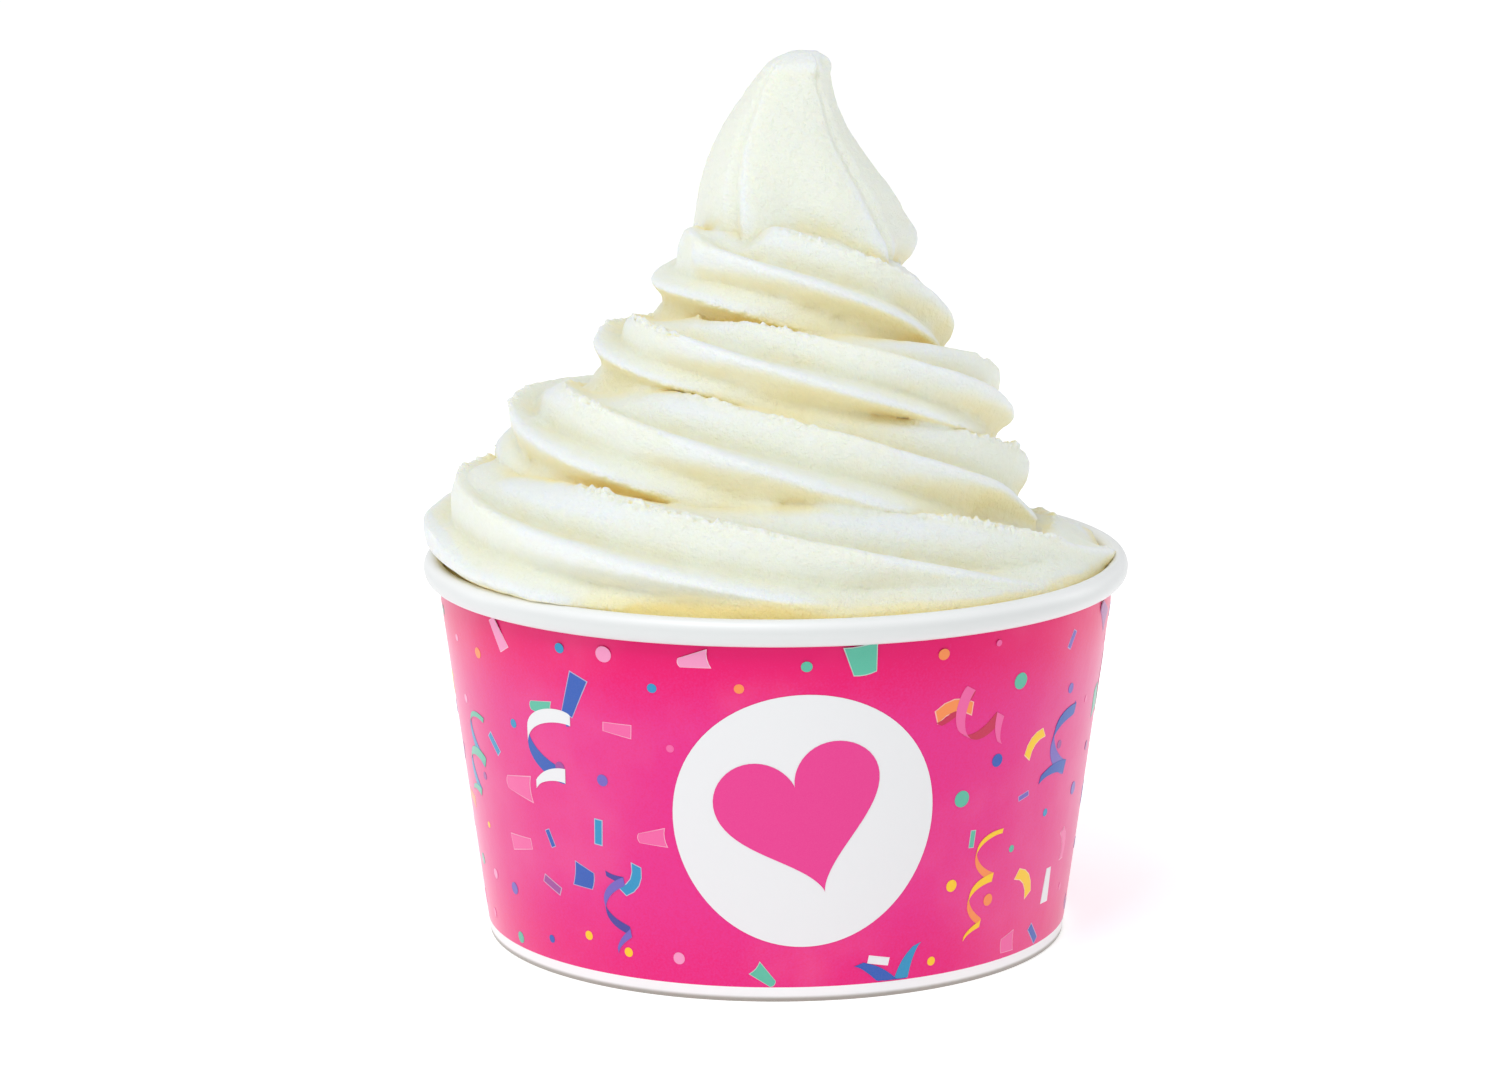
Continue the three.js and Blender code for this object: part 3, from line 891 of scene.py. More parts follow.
# Streamers on flat paper: place beside the roundel's middle, tilt, length, swing at both ends, turns, ribbon
# width and the inks of its two sides.
STREAMERS = [
    ((-42, 8), 84, 14, (3.2, 4.8), 1.5, 2.6, "white", "blue"),
    ((-31, -16), 98, 14, (1.6, 2.6), 1.7, 1.6, "violet", "deep_violet"),
    ((27, 14), 150, 14, (1.8, 4.2), 1.8, 2.0, "rose", "crimson"),
    ((31, -14), 80, 17, (1.5, 2.8), 2.3, 1.4, "yellow", "orange"),
    ((48, 6), 74, 14, (4.4, 2.2), 1.5, 2.4, "blue", "violet"),
    ((15, -25), 20, 12, (4.0, 2.6), 0.8, 3.0, "blue", "teal"),
    ((-64, 2), 62, 15, (2.0, 3.8), 2.2, 1.7, "mint", "teal"),
    ((72, 9), 110, 15, (2.4, 4.6), 1.5, 2.4, "pale_pink", "crimson"),
    ((88, -12), 80, 15, (1.5, 2.6), 2.3, 1.4, "yellow", "orange"),
    ((104, 8), 65, 14, (4.6, 2.6), 1.4, 2.6, "white", "blue"),
    ((124, -8), 120, 15, (2.0, 3.6), 1.9, 1.8, "violet", "deep_violet"),
    ((144, 9), 85, 14, (3.0, 4.4), 1.3, 2.4, "teal", "blue"),
    ((-86, -12), 96, 16, (1.5, 2.8), 2.4, 1.4, "yellow", "orange"),
    ((-106, 8), 75, 14, (4.2, 2.6), 1.5, 2.6, "rose", "crimson"),
]


def wrapped(form, flat, lift):
    """Points drawn on flat paper, heading times FLAT_RADIUS and height, laid on the cup's wall."""
    flat = np.asarray(flat, float)
    angle = flat[:, 0] / FLAT_RADIUS
    radius = form.outer(flat[:, 1]) + lift
    return np.stack([radius * np.cos(angle), radius * np.sin(angle), flat[:, 1]], 1)


def printed_piece(name, points, faces, colours, inks, smooth=True):
    """Printed piece with one ink for each face, kept on its corners."""
    piece = mesh_object(name, points, faces, smooth)
    piece.data.materials.append(inks)
    layer = piece.data.color_attributes.new("ink", "FLOAT_COLOR", "CORNER")
    corners = [rgba(colours[p.index]) for p in piece.data.polygons for _ in p.vertices]
    layer.data.foreach_set("color", np.array(corners, dtype=np.float32).ravel())
    return piece


class GeometryTree:
    """A Geometry Nodes tree built by short calls."""

    def __init__(self, name):
        self.tree = bpy.data.node_groups.new(name, "GeometryNodeTree")
        self.tree.interface.new_socket("Geometry", in_out="OUTPUT", socket_type="NodeSocketGeometry")
        self.inputs = self.tree.nodes.new("NodeGroupInput")
        self.named = {}

    def input(self, name, kind, default):
        """Named input of the tree, of a kind such as Float."""
        socket = self.tree.interface.new_socket(name, in_out="INPUT", socket_type="NodeSocket" + kind)
        socket.default_value = default
        self.named[name] = socket.identifier
        return self.inputs.outputs[name]

    def node(self, kind, settings=None, sockets=None, out=0):
        return add_node(self.tree, kind, settings, sockets).outputs[out]

    def shape(self, kind, **sockets):
        """Node of the geometry kinds, with its sockets named with _ for each space."""
        named = {name.replace("_", " "): given for name, given in sockets.items()}
        return self.node("GeometryNode" + kind, {}, named)

    def maths(self, operation, *values):
        return self.node("ShaderNodeMath", {"operation": operation}, dict(enumerate(values)))

    def join(self, **parts):
        return self.node("ShaderNodeCombineXYZ", {}, parts)

    def place(self):
        """X, Y and Z of each point."""
        return self.node("ShaderNodeSeparateXYZ", {}, {"Vector": self.shape("InputPosition")}).node.outputs

    def random(self, seed, *limits):
        return self.node("FunctionNodeRandomValue", {"data_type": "FLOAT"},
                         {**dict(enumerate(limits, 2)), "Seed": seed}, out=1)

    def marked(self, geometry, name, value, kind, domain):
        """Geometry that keeps a value under a name."""
        return self.node("GeometryNodeStoreNamedAttribute", {"data_type": kind, "domain": domain},
                         {"Geometry": geometry, "Name": name, "Value": value})

    def on_piece(self, name, geometry, values):
        """Plain mesh of the geometry that the tree ends in, for these values of its inputs."""
        add_node(self.tree, "NodeGroupOutput", {}, {0: geometry})
        piece = mesh_object(name, [(0, 0, 0)], [])
        maker = piece.modifiers.new("maker", "NODES")
        maker.node_group = self.tree
        for socket, value in values.items():
            maker[self.named[socket]] = value
        return made_plain(piece)


class MakePrint(bpy.types.Operator):
    """Make the printed confetti, the streamers and the white roundel on the cup's wall"""
    bl_idname = "yogurt_cup.make_print"
    bl_label = "Make Print"

    def execute(self, context):
        form = CupForm(context.scene.yogurt_cup)
        sizes = context.scene.yogurt_confetti
        inks = confetti_material()
        centre = np.array([sizes.roundel_heading * FLAT_RADIUS, sizes.roundel_height / MM])
        self.confetti(form, sizes, inks)
        self.streamers(form, centre, inks)
        self.roundel(form, centre, sizes.roundel_radius / MM, inks)
        return {"FINISHED"}

    def finish(self, piece):
        """Turn every face away from the axis, and give the sheet the thickness of its ink film, inwards."""
        mesh = piece.data
        facing = [p.normal.x * p.center.x + p.normal.y * p.center.y for p in mesh.polygons]
        for polygon, side in zip(mesh.polygons, facing):
            if side < 0:
                polygon.flip()
        mesh.update()
        film = piece.modifiers.new("film", "SOLIDIFY")
        film.thickness = FILM * MM
        film.offset = -1
        made_plain(piece)
        piece.data.set_sharp_from_angle(angle=math.radians(40))
        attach(piece, "root")

    def confetti(self, form, sizes, inks):
        tree = GeometryTree("confetti_scatter")
        spacing = tree.input("Spacing", "Float", 5.0)
        smallest = tree.input("Smallest", "Float", 0.6)
        largest = tree.input("Largest", "Float", 1.4)
        seed = tree.input("Seed", "Int", 1)
        keep_out = tree.input("Roundel Radius", "Float", 20.0)
        middle = tree.input("Roundel Middle", "Vector", (0, 0, 0))
        low, high = form.band + 1.6, form.curl_z - CURL_HALF_HEIGHT - 2.2
        sheet = tree.shape("MeshGrid", Size_X=TAU * FLAT_RADIUS - 6, Size_Y=high - low, Vertices_X=2,
                           Vertices_Y=2)
        start = form.seam * FLAT_RADIUS + math.pi * FLAT_RADIUS
        moved = tree.shape("Transform", Geometry=sheet, Translation=(start, (low + high) / 2, 0))
        dots = tree.node("GeometryNodeDistributePointsOnFaces", {"distribute_method": "POISSON"}, {
            "Mesh": moved, "Distance Min": spacing, "Density Max": 0.4, "Seed": seed})
        reach = tree.node("ShaderNodeVectorMath", {"operation": "DISTANCE"},
                          {0: tree.shape("InputPosition"), 1: middle}, out=1)
        inside = tree.node("FunctionNodeCompare", {"operation": "LESS_THAN"}, {0: reach, 1: keep_out})
        left = tree.node("GeometryNodeDeleteGeometry", {"domain": "POINT"},
                         {"Geometry": dots, "Selection": inside})

        shapes = [self.dot(tree, radius) for radius in DOTS] + [self.paper(tree, *one) for one in PAPERS]
        kinds = tree.shape("JoinGeometry", Geometry=[
            tree.shape("GeometryToInstance", Geometry=shape) for shape in shapes])
        laid = tree.shape("InstanceOnPoints", Points=left, Instance=kinds, Pick_Instance=True,
                          Rotation=tree.join(Z=tree.random(3, 0.0, TAU)),
                          Scale=tree.random(5, smallest, largest))
        stops = [(i / len(SCATTER_INKS), rgba(INKS[ink])) for i, ink in enumerate(SCATTER_INKS)]
        ink = tree.node("ShaderNodeValToRGB", {"interpolation": "CONSTANT", "stops": stops},
                        {0: tree.random(8)})
        tinted = tree.marked(laid, "ink", ink, "FLOAT_COLOR", "INSTANCE")
        real = tree.shape("RealizeInstances", Geometry=tinted)
        x, y, lift = tree.place()
        angle = tree.maths("DIVIDE", x, FLAT_RADIUS)
        radius = tree.maths("ADD", tree.maths("MULTIPLY_ADD", y, WALL_SLOPE, form.base), lift)
        spot = tree.join(X=tree.maths("MULTIPLY", radius, tree.maths("COSINE", angle)),
                         Y=tree.maths("MULTIPLY", radius, tree.maths("SINE", angle)), Z=y)
        metres = tree.node("ShaderNodeVectorMath", {"operation": "SCALE"}, {0: spot, "Scale": MM})
        on_wall = tree.shape("SetPosition", Geometry=real, Position=metres)
        done = tree.shape("SetMaterial", Geometry=on_wall, Material=inks)

        heading = sizes.roundel_heading % TAU
        if heading < form.seam:
            heading += TAU
        self.finish(tree.on_piece("print_confetti", done, {
            "Spacing": sizes.spacing / MM, "Smallest": sizes.smallest, "Largest": sizes.largest,
            "Seed": sizes.seed, "Roundel Radius": sizes.roundel_radius / MM + ROUNDEL_MARGIN,
            "Roundel Middle": (heading * FLAT_RADIUS, sizes.roundel_height / MM, 0)}))

    def lifted(self, tree, shape, height, edge):
        """A shape raised off the paper, which keeps whether it is the pale edge of another."""
        return tree.shape("Transform", Geometry=tree.marked(shape, "pale_edge", edge, "FLOAT", "FACE"),
                          Translation=(0, 0, height))

    def dot(self, tree, radius):
        disc = tree.node("GeometryNodeMeshCircle", {"fill_type": "NGON"}, {"Vertices": 18, "Radius": radius})
        return self.lifted(tree, disc, PRINT_LIFT, 0.0)

    def paper(self, tree, half_width, half_height, narrowing, bend):
        """One paper shape with a pale edge round it."""
        parts = []
        for grown, height in ((0.0, PRINT_LIFT), (0.14, EDGE_LIFT)):
            grid = tree.shape("MeshGrid", Size_X=2 * (half_width + grown), Size_Y=2 * (half_height + grown),
                              Vertices_X=5 if half_width > 1 else 3, Vertices_Y=4)
            x, y, _ = tree.place()
            narrower = tree.maths("MULTIPLY_ADD", y, -narrowing / (2 * half_height),
                                  1.0 - abs(narrowing) / 2)
            arched = tree.maths("MULTIPLY_ADD", tree.maths("MULTIPLY", x, x), bend, y)
            place = tree.join(X=tree.maths("MULTIPLY", x, narrower), Y=arched)
            shaped = tree.shape("SetPosition", Geometry=grid, Position=place)
            parts.append(self.lifted(tree, shaped, height, float(grown > 0)))
        return tree.shape("JoinGeometry", Geometry=parts)

    def streamers(self, form, centre, inks):
        low, high = form.band + 0.3, form.curl_z - CURL_HALF_HEIGHT - 0.7
        points, faces, colours = [], [], []
        for place, tilt, length, swings, turns, width, front, back in STREAMERS:
            along = np.array([math.cos(math.radians(tilt)), math.sin(math.radians(tilt))])
            across = np.array([-along[1], along[0]])
            t = np.linspace(0, 1, 24 + round(24 * turns))
            phase = TAU * turns * t + 0.6
            swing = swings[0] + (swings[1] - swings[0]) * t
            line = (t - 0.5) * length + 0.45 * swing * np.sin(phase)
            path = centre + place + line[:, None] * along + (swing * np.cos(phase))[:, None] * across
            half = 0.5 * width * np.sin(math.pi * np.clip(t, 0.04, 0.96)) ** 0.3
            facing = np.sin(phase) > 0
            start = len(points)
            for spot, reach, near in zip(path, half, facing):
                for side in (-reach, reach):
                    flat = spot + side * along
                    flat[1] = min(max(flat[1], low), high)
                    points.extend(wrapped(form, [flat], PRINT_LIFT + (FRONT_LIFT if near else 0.0)))
            for a, near in zip(range(start, len(points) - 2, 2), facing):
                faces.append((a, a + 1, a + 3, a + 2))
                colours.append(INKS[front if near else back])
        self.finish(printed_piece("print_streamers", points, faces, colours, inks, smooth=False))

    def flat_shape(self, form, name, outline, centre, lift, ink, inks):
        """Filled outline about a centre on flat paper, as rings that follow the wall."""
        rings, n = 10, len(outline)
        flat = np.concatenate([np.zeros((1, 2))] + [outline * k / rings for k in range(1, rings + 1)])
        faces = [(0, 1 + j, 1 + (j + 1) % n) for j in range(n)]
        for first in range(1, 1 + (rings - 1) * n, n):
            for j in range(n):
                a, b = first + j, first + (j + 1) % n
                faces.append((a, a + n, b + n, b))
        self.finish(printed_piece(name, wrapped(form, flat + centre, lift), faces, [ink] * len(faces), inks))

    def roundel(self, form, centre, radius, inks):
        squeeze = FLAT_RADIUS / form.outer(centre[1])
        t = np.linspace(0, TAU, 96, endpoint=False)
        circle = np.stack([squeeze * radius * np.cos(t), radius * np.sin(t)], 1)
        self.flat_shape(form, "print_roundel", circle, centre, ROUNDEL_LIFT, INKS["white"], inks)
        heart = np.stack([16 * np.sin(t) ** 3,
                          13 * np.cos(t) - 5 * np.cos(2 * t) - 2 * np.cos(3 * t) - np.cos(4 * t) + 2.2], 1)
        c, s = math.cos(HEART_TILT), math.sin(HEART_TILT)
        heart = heart @ np.array([[c, s], [-s, c]]) * (radius * HEART_SIZE)
        pink = tuple(bpy.context.scene.yogurt_cup.ink_colour)
        self.flat_shape(form, "print_heart", heart, centre, HEART_LIFT, pink, inks)


# ---------------------------------------------------------------- yogurt

class SwirlForm:
    """The rope, the webs between its coils and the peak as points in millimetres."""

    def __init__(self, sizes):
        self.sizes = sizes
        self.radius = per_turn(COIL_RADIUS, 0.5)
        self.turn = per_turn(LOBE_TURN, 0.5)
        self.half_width = per_turn(SECTION_HALF_WIDTH, 1)
        self.half_height = per_turn(SECTION_HALF_HEIGHT, 1)
        self.tilt = per_turn(SECTION_TILT, 1)
        self.centre_x = per_turn(COIL_CENTRE_X, 1)
        self.centre_y = per_turn(COIL_CENTRE_Y, 1)

    def height(self, turn):
        around = TAU * turn
        return (TOP_COIL_HEIGHT - COIL_DROP * turn - COIL_DROP_GROWTH * turn * turn
                + COIL_SAG_LEFT * np.cos(around) + COIL_SAG_BACK * np.sin(around))

    def middle(self, turn):
        """The rope's centre line: radius and heading about the coil's middle, that middle, and height."""
        heading = math.pi * (1 + 2 * turn)
        radius = self.radius(turn) + SWELL_REACH * hill(turn - SWELL_TURN, SWELL_SPREAD)
        return radius, heading, self.centre_x(turn), self.centre_y(turn), self.height(turn)

    def even_turns(self, spacing):
        """Turns at which rings lie evenly along the rope, and the way along it to each."""
        turn = np.linspace(FIRST_TURN, LAST_TURN, 4000)
        radius, heading, x, y, z = self.middle(turn)
        line = np.stack([x + radius * np.cos(heading), y + radius * np.sin(heading), z], 1)
        way = np.concatenate([[0], np.cumsum(np.linalg.norm(np.diff(line, axis=0), axis=1))])
        even = np.linspace(0, way[-1], round(way[-1] / spacing))
        return np.interp(even, way, turn), even

    def rope(self, turn, way, lobe_angle):
        """Points of the rope's skin for arrays of turns and of angles from a lobe's crest."""
        sizes = self.sizes
        angle = lobe_angle + np.radians(self.turn(turn))
        past = degrees_past(np.degrees(angle), VALLEY_ANGLE)
        near = np.exp(-((turn - VALLEY_TURN) / VALLEY_SPREAD) ** 2 - (past / VALLEY_WIDTH) ** 2)
        angle = angle + np.radians(VALLEY_OPENING) * near * past / VALLEY_OPENING_AT
        tilted = angle - np.radians(self.tilt(turn))
        across = np.abs(np.cos(tilted) / self.half_width(turn)) ** SECTION_POWER
        along = np.abs(np.sin(tilted) / self.half_height(turn)) ** SECTION_POWER
        skewed = lobe_angle + LOBE_SKEW * (1 - np.cos(LOBES * lobe_angle)) / LOBES
        wave = np.abs(np.sin(LOBES * skewed / 2)) ** sizes.lobe_sharpness
        skin = np.stack([way, SKIN_RADIUS * np.cos(lobe_angle), SKIN_RADIUS * np.sin(lobe_angle)], -1)
        side, up = np.cos(angle), np.sin(angle)
        above = up > 0
        free = np.where(above, INNER_DEPTH_ABOVE + (1 - INNER_DEPTH_ABOVE) * ease(side, 0.05, 0.6),
                        INNER_DEPTH_BELOW + (1 - INNER_DEPTH_BELOW) * ease(side, 0.1, 0.75))
        depth = sizes.lobe_depth * free * (1 + DEPTH_WANDER * lumps(skin, 23.0, 2))
        reach = (1 - depth * wave) * (across + along) ** (-1 / SECTION_POWER)
        reach = reach + UPPER_RIDGE * (1 - wave) ** 2 * ease(up, 0.45, 0.85)
        tucked = above * ease(-side, -0.05, 0.35) * hill(turn - TUCK_TURN, TUCK_SPREAD)
        reach = reach * (1 - TUCK * tucked)
        reach = reach + sizes.unevenness / MM * layered(skin, *ROPE_LUMPS)
        strands = lumps(skin * STRAND_STRETCH, 1.3, 9)
        reach = reach + sizes.grain / MM * (1.2 * lumps(skin, 2.1, 6) + 0.8 * strands)

        radius, heading, x, y, z = self.middle(turn)
        radius = radius + reach * side
        return np.stack([x + radius * np.cos(heading), y + radius * np.sin(heading), z + reach * up], -1)

    def lips(self, points):
        """How near each point is to a ridge on the upper side of its coil, from 0 to 1."""
        nearest = np.zeros(len(points))
        for whole in range(6):
            turn = np.full(len(points), float(whole))
            for _ in range(3):
                heading = np.arctan2(points[:, 1] - self.centre_y(turn), points[:, 0] - self.centre_x(turn))
                turn = (heading / math.pi - 1) / 2 + whole
            radius, _, x, y, z = self.middle(turn)
            out = np.hypot(points[:, 0] - x, points[:, 1] - y) - radius
            up = points[:, 2] - z
            angle = np.arctan2(up, out)
            wave = np.abs(np.sin(LOBES * (angle - np.radians(self.turn(turn))) / 2))
            edge = np.hypot(self.half_width(turn) * np.cos(angle), self.half_height(turn) * np.sin(angle))
            close = hill(np.hypot(out, up) - edge, 2.0)
            inside = (turn > FIRST_TURN) & (turn < LAST_TURN)
            nearest = np.maximum(nearest, close * (1 - wave) ** 2 * ease(np.sin(angle), 0.4, 0.8) * inside)
        return nearest

    def web(self, turn, points):
        """Rings of the yogurt that fills the hollow between one coil and the next below it."""
        radius, heading, x, y, z = self.middle(turn)
        below, _, x_below, y_below, z_below = self.middle(turn + 1)
        outer = (radius + self.half_width(turn) + below + self.half_width(turn + 1)) / 2 - WEB_DEPTH
        angle = np.linspace(0, TAU, points, endpoint=False)
        reach = (outer - WEB_HALF_WIDTH)[:, None] + WEB_HALF_WIDTH * np.cos(angle)
        return np.stack([((x + x_below) / 2)[:, None] + reach * np.cos(heading)[:, None],
                         ((y + y_below) / 2)[:, None] + reach * np.sin(heading)[:, None],
                         ((z + z_below) / 2)[:, None] + WEB_HALF_HEIGHT * np.sin(angle)], -1)

    def peak(self, rings, points):
        """Rings of the drawn-off point."""
        place = np.linspace(0, 1, rings) ** PEAK_CROWDING
        heights = PEAK_HEIGHTS[0] + (PEAK_HEIGHTS[-1] - PEAK_HEIGHTS[0]) * place
        z, a = np.meshgrid(heights, np.linspace(0, TAU, points, endpoint=False), indexing="ij")
        turn = np.radians(PEAK_LOBE_TURN + PEAK_TWIST * ease(z, *PEAK_TWIST_HEIGHTS))
        wave = np.abs(np.sin(PEAK_LOBES * (a - turn) / 2)) ** PEAK_WAVE_POWER
        full = hill(degrees_past(np.degrees(a), PEAK_FULL_HEADING), PEAK_FULL_WIDTH)
        depth = PEAK_DEPTH_ABOVE + PEAK_DEPTH_BELOW * ease(-z, -119, -108) * (1 - 0.8 * full)
        past = np.degrees((a - turn + math.pi) % TAU - math.pi)
        groove = (hill(past - PEAK_GROOVE_BESIDE, PEAK_GROOVE_WIDTH)
                  + hill(past + 360 / PEAK_LOBES + PEAK_GROOVE_BESIDE, PEAK_GROOVE_WIDTH))
        tip = PEAK_TIP_DENT
        dent = np.exp(-((past - tip["angle"]) / tip["width"]) ** 2
                      - ((z - tip["height"]) / tip["spread"]) ** 2)
        taken = z + full * np.maximum(PEAK_FULL_HEIGHT - z, 0)
        radius = curve_through(PEAK_HEIGHTS, PEAK_RADII)(taken)
        radius = radius * (1.01 - depth * wave - PEAK_GROOVE_DEPTH * groove) - dent
        skin = np.stack([SKIN_RADIUS * np.cos(a), SKIN_RADIUS * np.sin(a), z * 0.6], -1)
        radius = radius + self.sizes.unevenness / MM * 0.6 * lumps(skin, 5.0, 13)
        fine = np.stack([radius * np.cos(a), radius * np.sin(a), z], -1)
        radius = radius + self.sizes.grain / MM * layered(fine, (1, 0.9, 14), (1, 1.8, 15))
        x = curve_through(PEAK_HEIGHTS, PEAK_CENTRE_X)(z)
        return np.stack([x + radius * np.cos(a), radius * np.sin(a), z], -1)


def egg(middle, half_sizes, turn=0.0):
    """Egg-shaped body, its first two half sizes turned about the vertical."""
    u, v = np.meshgrid(np.linspace(0.01, math.pi - 0.01, 40), np.linspace(0, TAU, 60, endpoint=False),
                       indexing="ij")
    x, y = half_sizes[0] * np.sin(u) * np.cos(v), half_sizes[1] * np.sin(u) * np.sin(v)
    c, s = math.cos(turn), math.sin(turn)
    rings = np.stack([x * c - y * s, x * s + y * c, half_sizes[2] * np.cos(u)], -1) + np.asarray(middle)
    return body_through("egg_part", rings)


def pocket(heading, radius, height, half_sizes):
    """Cutter lying along the wall."""
    turn = math.radians(heading)
    return egg((radius * math.cos(turn), radius * math.sin(turn), height), half_sizes, turn)


def room_in(form):
    """The space that the cup leaves for the yogurt, open upwards."""
    inner = [(form.inner(z) - WALL_GAP, z) for z in (7.2, 30, 54)]
    around = [form.curl(angle, -WALL_GAP) for angle in (190, 170, 150, 130, 110, 90)]
    free = form.rim - 0.05
    above = [(free, form.curl_z + CURL_HALF_HEIGHT + WALL_GAP + 0.05), (free, 100), (free, 150)]
    return turned("room_part", inner + around + above, 160)


class MakeYogurt(bpy.types.Operator):
    """Make the frozen yogurt: a filling, a ridged rope piped in coils and a drawn-off point"""
    bl_idname = "yogurt_cup.make_yogurt"
    bl_label = "Make Yogurt"

    def execute(self, context):
        sizes = context.scene.yogurt_swirl
        swirl = SwirlForm(sizes)
        yogurt = turned("yogurt_swirl_fine", FILL, 120)
        combined(yogurt, self.parts(swirl, sizes), "UNION")
        self.dent(yogurt)
        combined(yogurt, [room_in(CupForm(context.scene.yogurt_cup))], "INTERSECT")
        combined(yogurt, [pocket(**sizes_of_one) for sizes_of_one in POCKETS], "DIFFERENCE")
        drop_loose_bits(yogurt)
        fill_creases(yogurt, 1 - openness(yogurt, [yogurt], 8, 0.012), 60)
        self.tear_lips(yogurt, swirl, sizes)
        self.mark(yogurt)
        yogurt.data.polygons.foreach_set("use_smooth", np.full(len(yogurt.data.polygons), True))
        yogurt.data.set_sharp_from_angle(angle=math.radians(65))
        yogurt.data.materials.clear()
        yogurt.data.materials.append(yogurt_material(sizes))
        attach(yogurt, "root")
        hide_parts("yogurt_swirl")
        return {"FINISHED"}

    def parts(self, swirl, sizes):
        """The rope by quarter turns, the webs between its coils, the peak and the patches."""
        even = np.linspace(0, TAU, LOBES * sizes.points_per_lobe, endpoint=False)
        turns, way = swirl.even_turns(sizes.ring_spacing / MM)
        skin = swirl.rope(*np.broadcast_arrays(
            turns[:, None], way[:, None], even - 0.5 * np.sin(LOBES * even) / LOBES))
        bodies = []
        for quarter in range(round((LAST_TURN - FIRST_TURN) * 4)):
            start, end = FIRST_TURN + quarter / 4, FIRST_TURN + (quarter + 1) / 4
            first, last = np.searchsorted(turns, [start, end])
            bodies.append(body_through("rope_part", skin[max(first - 1, 0):last + 2]))
            if end <= LAST_TURN - 1:
                web = swirl.web(np.linspace(start - 0.01, end + 0.01, 24), 28)
                bodies.append(body_through("web_part", web))
        bodies.append(body_through("peak_part", swirl.peak(96, 216)))
        return bodies + [egg(middle, half_sizes, math.radians(turn)) for middle, half_sizes, turn in PATCHES]

    def dent(self, yogurt):
        """Push the swirl in or out at the listed places."""
        points = points_of(yogurt) / MM
        for middle, reach, move in DENTS:
            share = np.exp(-(((points - middle) / reach) ** 2).sum(1))[:, None]
            points = points + share * move
        move_points(yogurt, points * MM)

    def tear_lips(self, yogurt, swirl, sizes):
        """Give the lips beside the creases ragged teeth, and the whole skin its icy grain."""
        shade = neighbours_mean(yogurt, 1 - openness(yogurt, [yogurt], 8, 0.008), 10)
        ridge = -hollowness(yogurt, 16)
        lips = ease(swirl.lips(points_of(yogurt) / MM), 0.4, 0.75)
        beside_crease = ease(ridge, 0.15, 0.6) * ease(shade, 0.08, 0.25)
        store(yogurt, "torn", np.maximum(0.8 * beside_crease, lips * ease(ridge, 0.05, 0.35)))
        for least in (0.36, 0.74):
            refine(yogurt, "torn", least)
        torn = stored(yogurt, "torn")
        points = points_of(yogurt) / MM
        teeth = layered(points, (1, 0.95, 7), (0.7, 0.48, 17))
        patches = ease(lumps(points, 13.0, 8), -0.5, 0.2)
        grain = layered(points, (1, 0.9, 5), (1, 1.7, 15))
        rise = sizes.tearing / MM * torn * patches * (0.3 + teeth) + sizes.grain / MM * grain
        move_points(yogurt, (points + rise[:, None] * point_normals(yogurt)) * MM)
        yogurt.data.attributes.remove(yogurt.data.attributes["torn"])

    def mark(self, yogurt):
        """Keep on the mesh what its material reads: how sheltered, raised and turned down each point is."""
        points = points_of(yogurt) / MM
        # How sheltered each point is by the yogurt and the cup's wall, which the material turns into painted
        # shade.
        shade = 1 - openness(yogurt, [yogurt, bpy.data.objects["cup_wall_paper"]], 14, 0.030)
        # Where the yogurt meets the cup, painted shade makes it deeper cream in patches, and less so on the
        # right.
        rim_shade_patches = np.maximum(0.65 + 0.9 * lumps(points, 17.0, 21), 0)
        rim_shade_patches = rim_shade_patches * (1 - 0.75 * ease(points[:, 0], -2, 16))
        store(yogurt, "shelter", shade + 0.36 * by_rim(points) * rim_shade_patches)
        store(yogurt, "crest", -hollowness(yogurt, 24))
        # How far each point of the lowest coil faces down, which the material paints darker as shade.
        falling = neighbours_mean(yogurt, -point_normals(yogurt)[:, 2], 8)
        store(yogurt, "underside", ease(falling, -0.15, 0.5) * ease(-points[:, 2], -70, -65))


# ---------------------------------------------------------------- stage

FLOOR = 4000  # half the floor's side, in millimetres


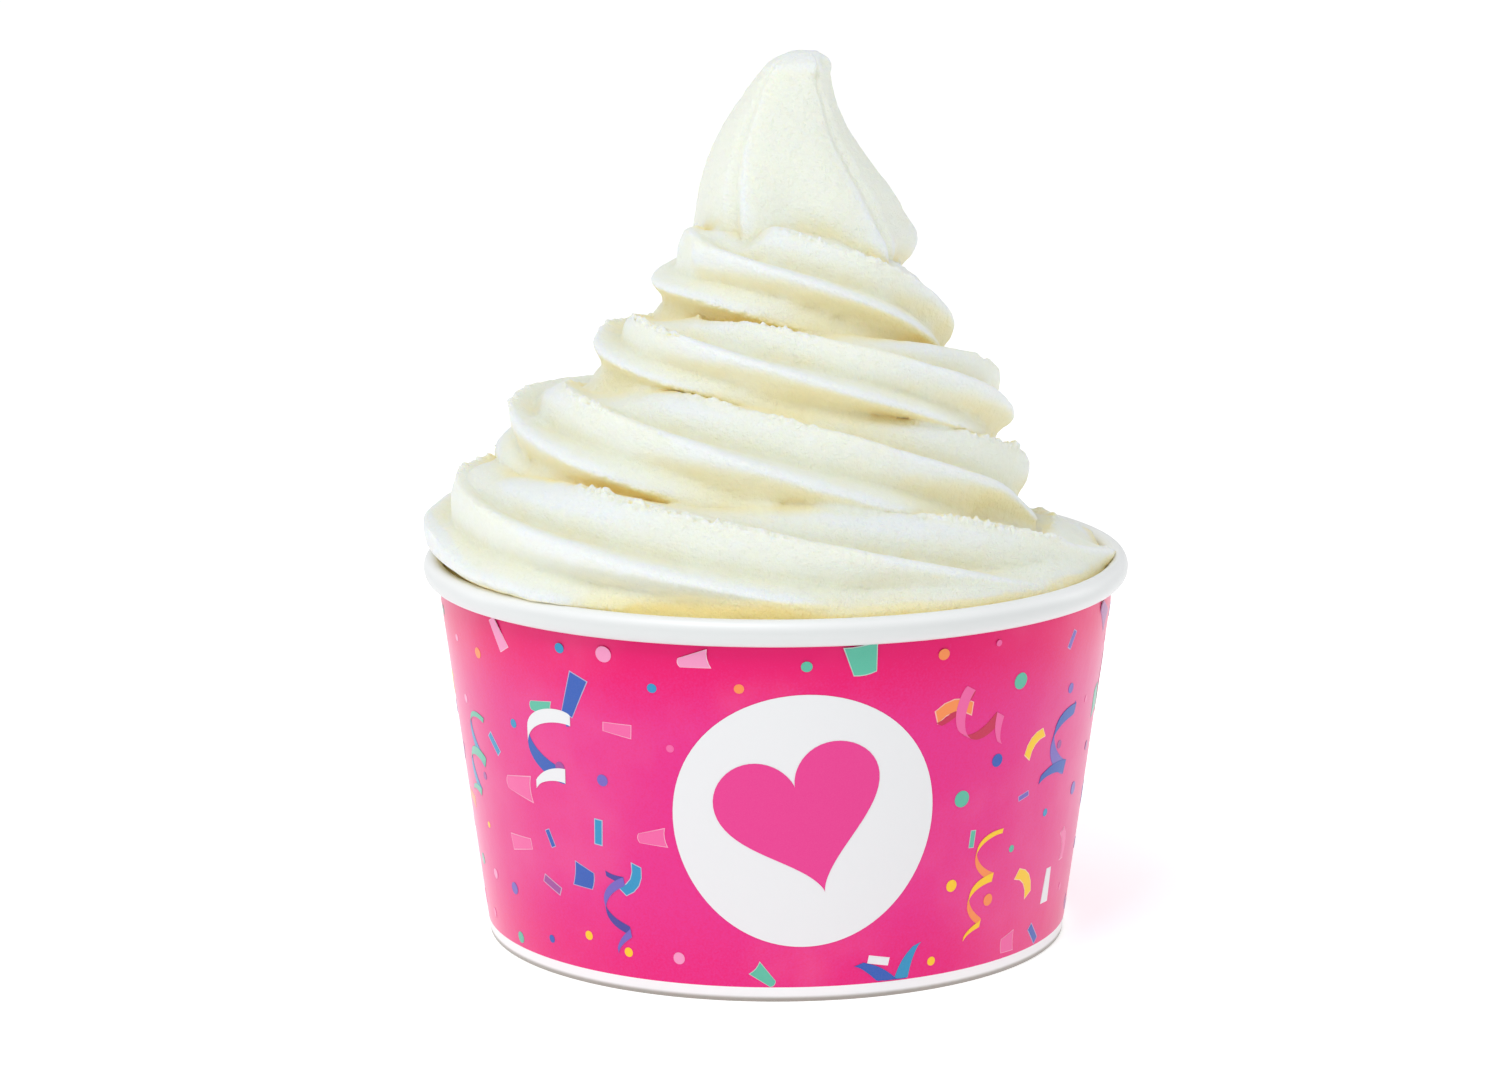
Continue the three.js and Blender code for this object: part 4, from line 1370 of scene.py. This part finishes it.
class MakeStage(bpy.types.Operator):
    """Make the pale floor, the soft lights and the camera"""
    bl_idname = "yogurt_cup.make_stage"
    bl_label = "Make Stage"

    def execute(self, context):
        scene = context.scene
        stage = scene.yogurt_stage
        corners = [(-FLOOR, -FLOOR, 0), (FLOOR, -FLOOR, 0), (FLOOR, FLOOR, 0), (-FLOOR, FLOOR, 0)]
        floor = mesh_object("floor", corners, [(0, 1, 2, 3)], smooth=False)
        floor.data.materials.append(floor_material(stage))
        world = bpy.data.worlds.new("even_light")
        world.use_nodes = True
        background = world.node_tree.nodes["Background"].inputs
        background["Color"].default_value = (1, 1, 1, 1)
        background["Strength"].default_value = stage.sky
        scene.world = world
        self.panel("key_light", (-0.25, -0.50, 0.85), (0, 0, 0.06), 0.4, 0.4, stage.key)
        self.panel("left_panel", (-0.70, 0.20, 0.14), (0, 0, 0.05), 0.25, 0.26, stage.side_left)
        self.panel("right_panel", (0.60, 0.24, 0.16), (0, 0, 0.05), 0.16, 0.30, stage.side_right)
        self.camera(scene, stage)
        scene.view_settings.view_transform = "Standard"
        return {"FINISHED"}

    def panel(self, name, place, aim, width, height, power):
        data = bpy.data.lights.new(name, "AREA")
        data.shape = "RECTANGLE"
        data.size = width
        data.size_y = height
        data.energy = power
        lamp = bpy.data.objects.new(name, data)
        lamp.location = place
        lamp.rotation_euler = (Vector(aim) - Vector(place)).to_track_quat("-Z", "Y").to_euler()
        bpy.context.scene.collection.objects.link(lamp)

    def camera(self, scene, stage):
        data = bpy.data.cameras.new("camera")
        data.sensor_fit = "HORIZONTAL"
        data.sensor_width = 36
        data.lens = stage.lens
        camera = bpy.data.objects.new("camera", data)
        scene.collection.objects.link(camera)
        pitch, yaw, roll = stage.camera_pitch, stage.camera_yaw, stage.camera_roll
        ahead = Vector((math.sin(yaw) * math.cos(pitch), math.cos(yaw) * math.cos(pitch), -math.sin(pitch)))
        right = Vector((math.cos(yaw), -math.sin(yaw), 0))
        up = right.cross(ahead)
        side = math.cos(roll) * right + math.sin(roll) * up
        top = -math.sin(roll) * right + math.cos(roll) * up
        camera.matrix_world = Matrix((
            (side.x, top.x, -ahead.x, 0),
            (side.y, top.y, -ahead.y, -stage.camera_distance),
            (side.z, top.z, -ahead.z, stage.camera_height),
            (0, 0, 0, 1)))
        scene.camera = camera


class YOGURT_PT_panel(bpy.types.Panel):
    """Lists the makers and the sizes they use"""
    bl_label = "Yogurt Cup"
    bl_idname = "YOGURT_PT_panel"
    bl_space_type = "VIEW_3D"
    bl_region_type = "UI"
    bl_category = "Yogurt Cup"

    def draw(self, context):
        layout = self.layout
        for operator in MAKERS:
            layout.operator(operator.bl_idname)
        for group in SETTINGS:
            box = layout.box()
            held = getattr(context.scene, group)
            for name in held.bl_rna.properties.keys():
                if name not in {"rna_type", "name"}:
                    box.prop(held, name)


SETTINGS = {
    "yogurt_cup": YogurtCupSizes,
    "yogurt_confetti": YogurtConfettiSizes,
    "yogurt_swirl": YogurtSwirlSizes,
    "yogurt_stage": YogurtStageSettings,
}
MAKERS = [MakeCup, MakePrint, MakeYogurt, MakeStage]


def register():
    for group in (*SETTINGS.values(), *MAKERS, YOGURT_PT_panel):
        bpy.utils.register_class(group)
    for name, group in SETTINGS.items():
        setattr(bpy.types.Scene, name, bpy.props.PointerProperty(type=group))


def unregister():
    for name in SETTINGS:
        delattr(bpy.types.Scene, name)
    for group in reversed((*SETTINGS.values(), *MAKERS, YOGURT_PT_panel)):
        bpy.utils.unregister_class(group)


def main():
    register()
    bpy.ops.yogurt_cup.make_cup()
    bpy.ops.yogurt_cup.make_print()
    bpy.ops.yogurt_cup.make_yogurt()
    bpy.ops.yogurt_cup.make_stage()


if __name__ == "__main__":
    main()
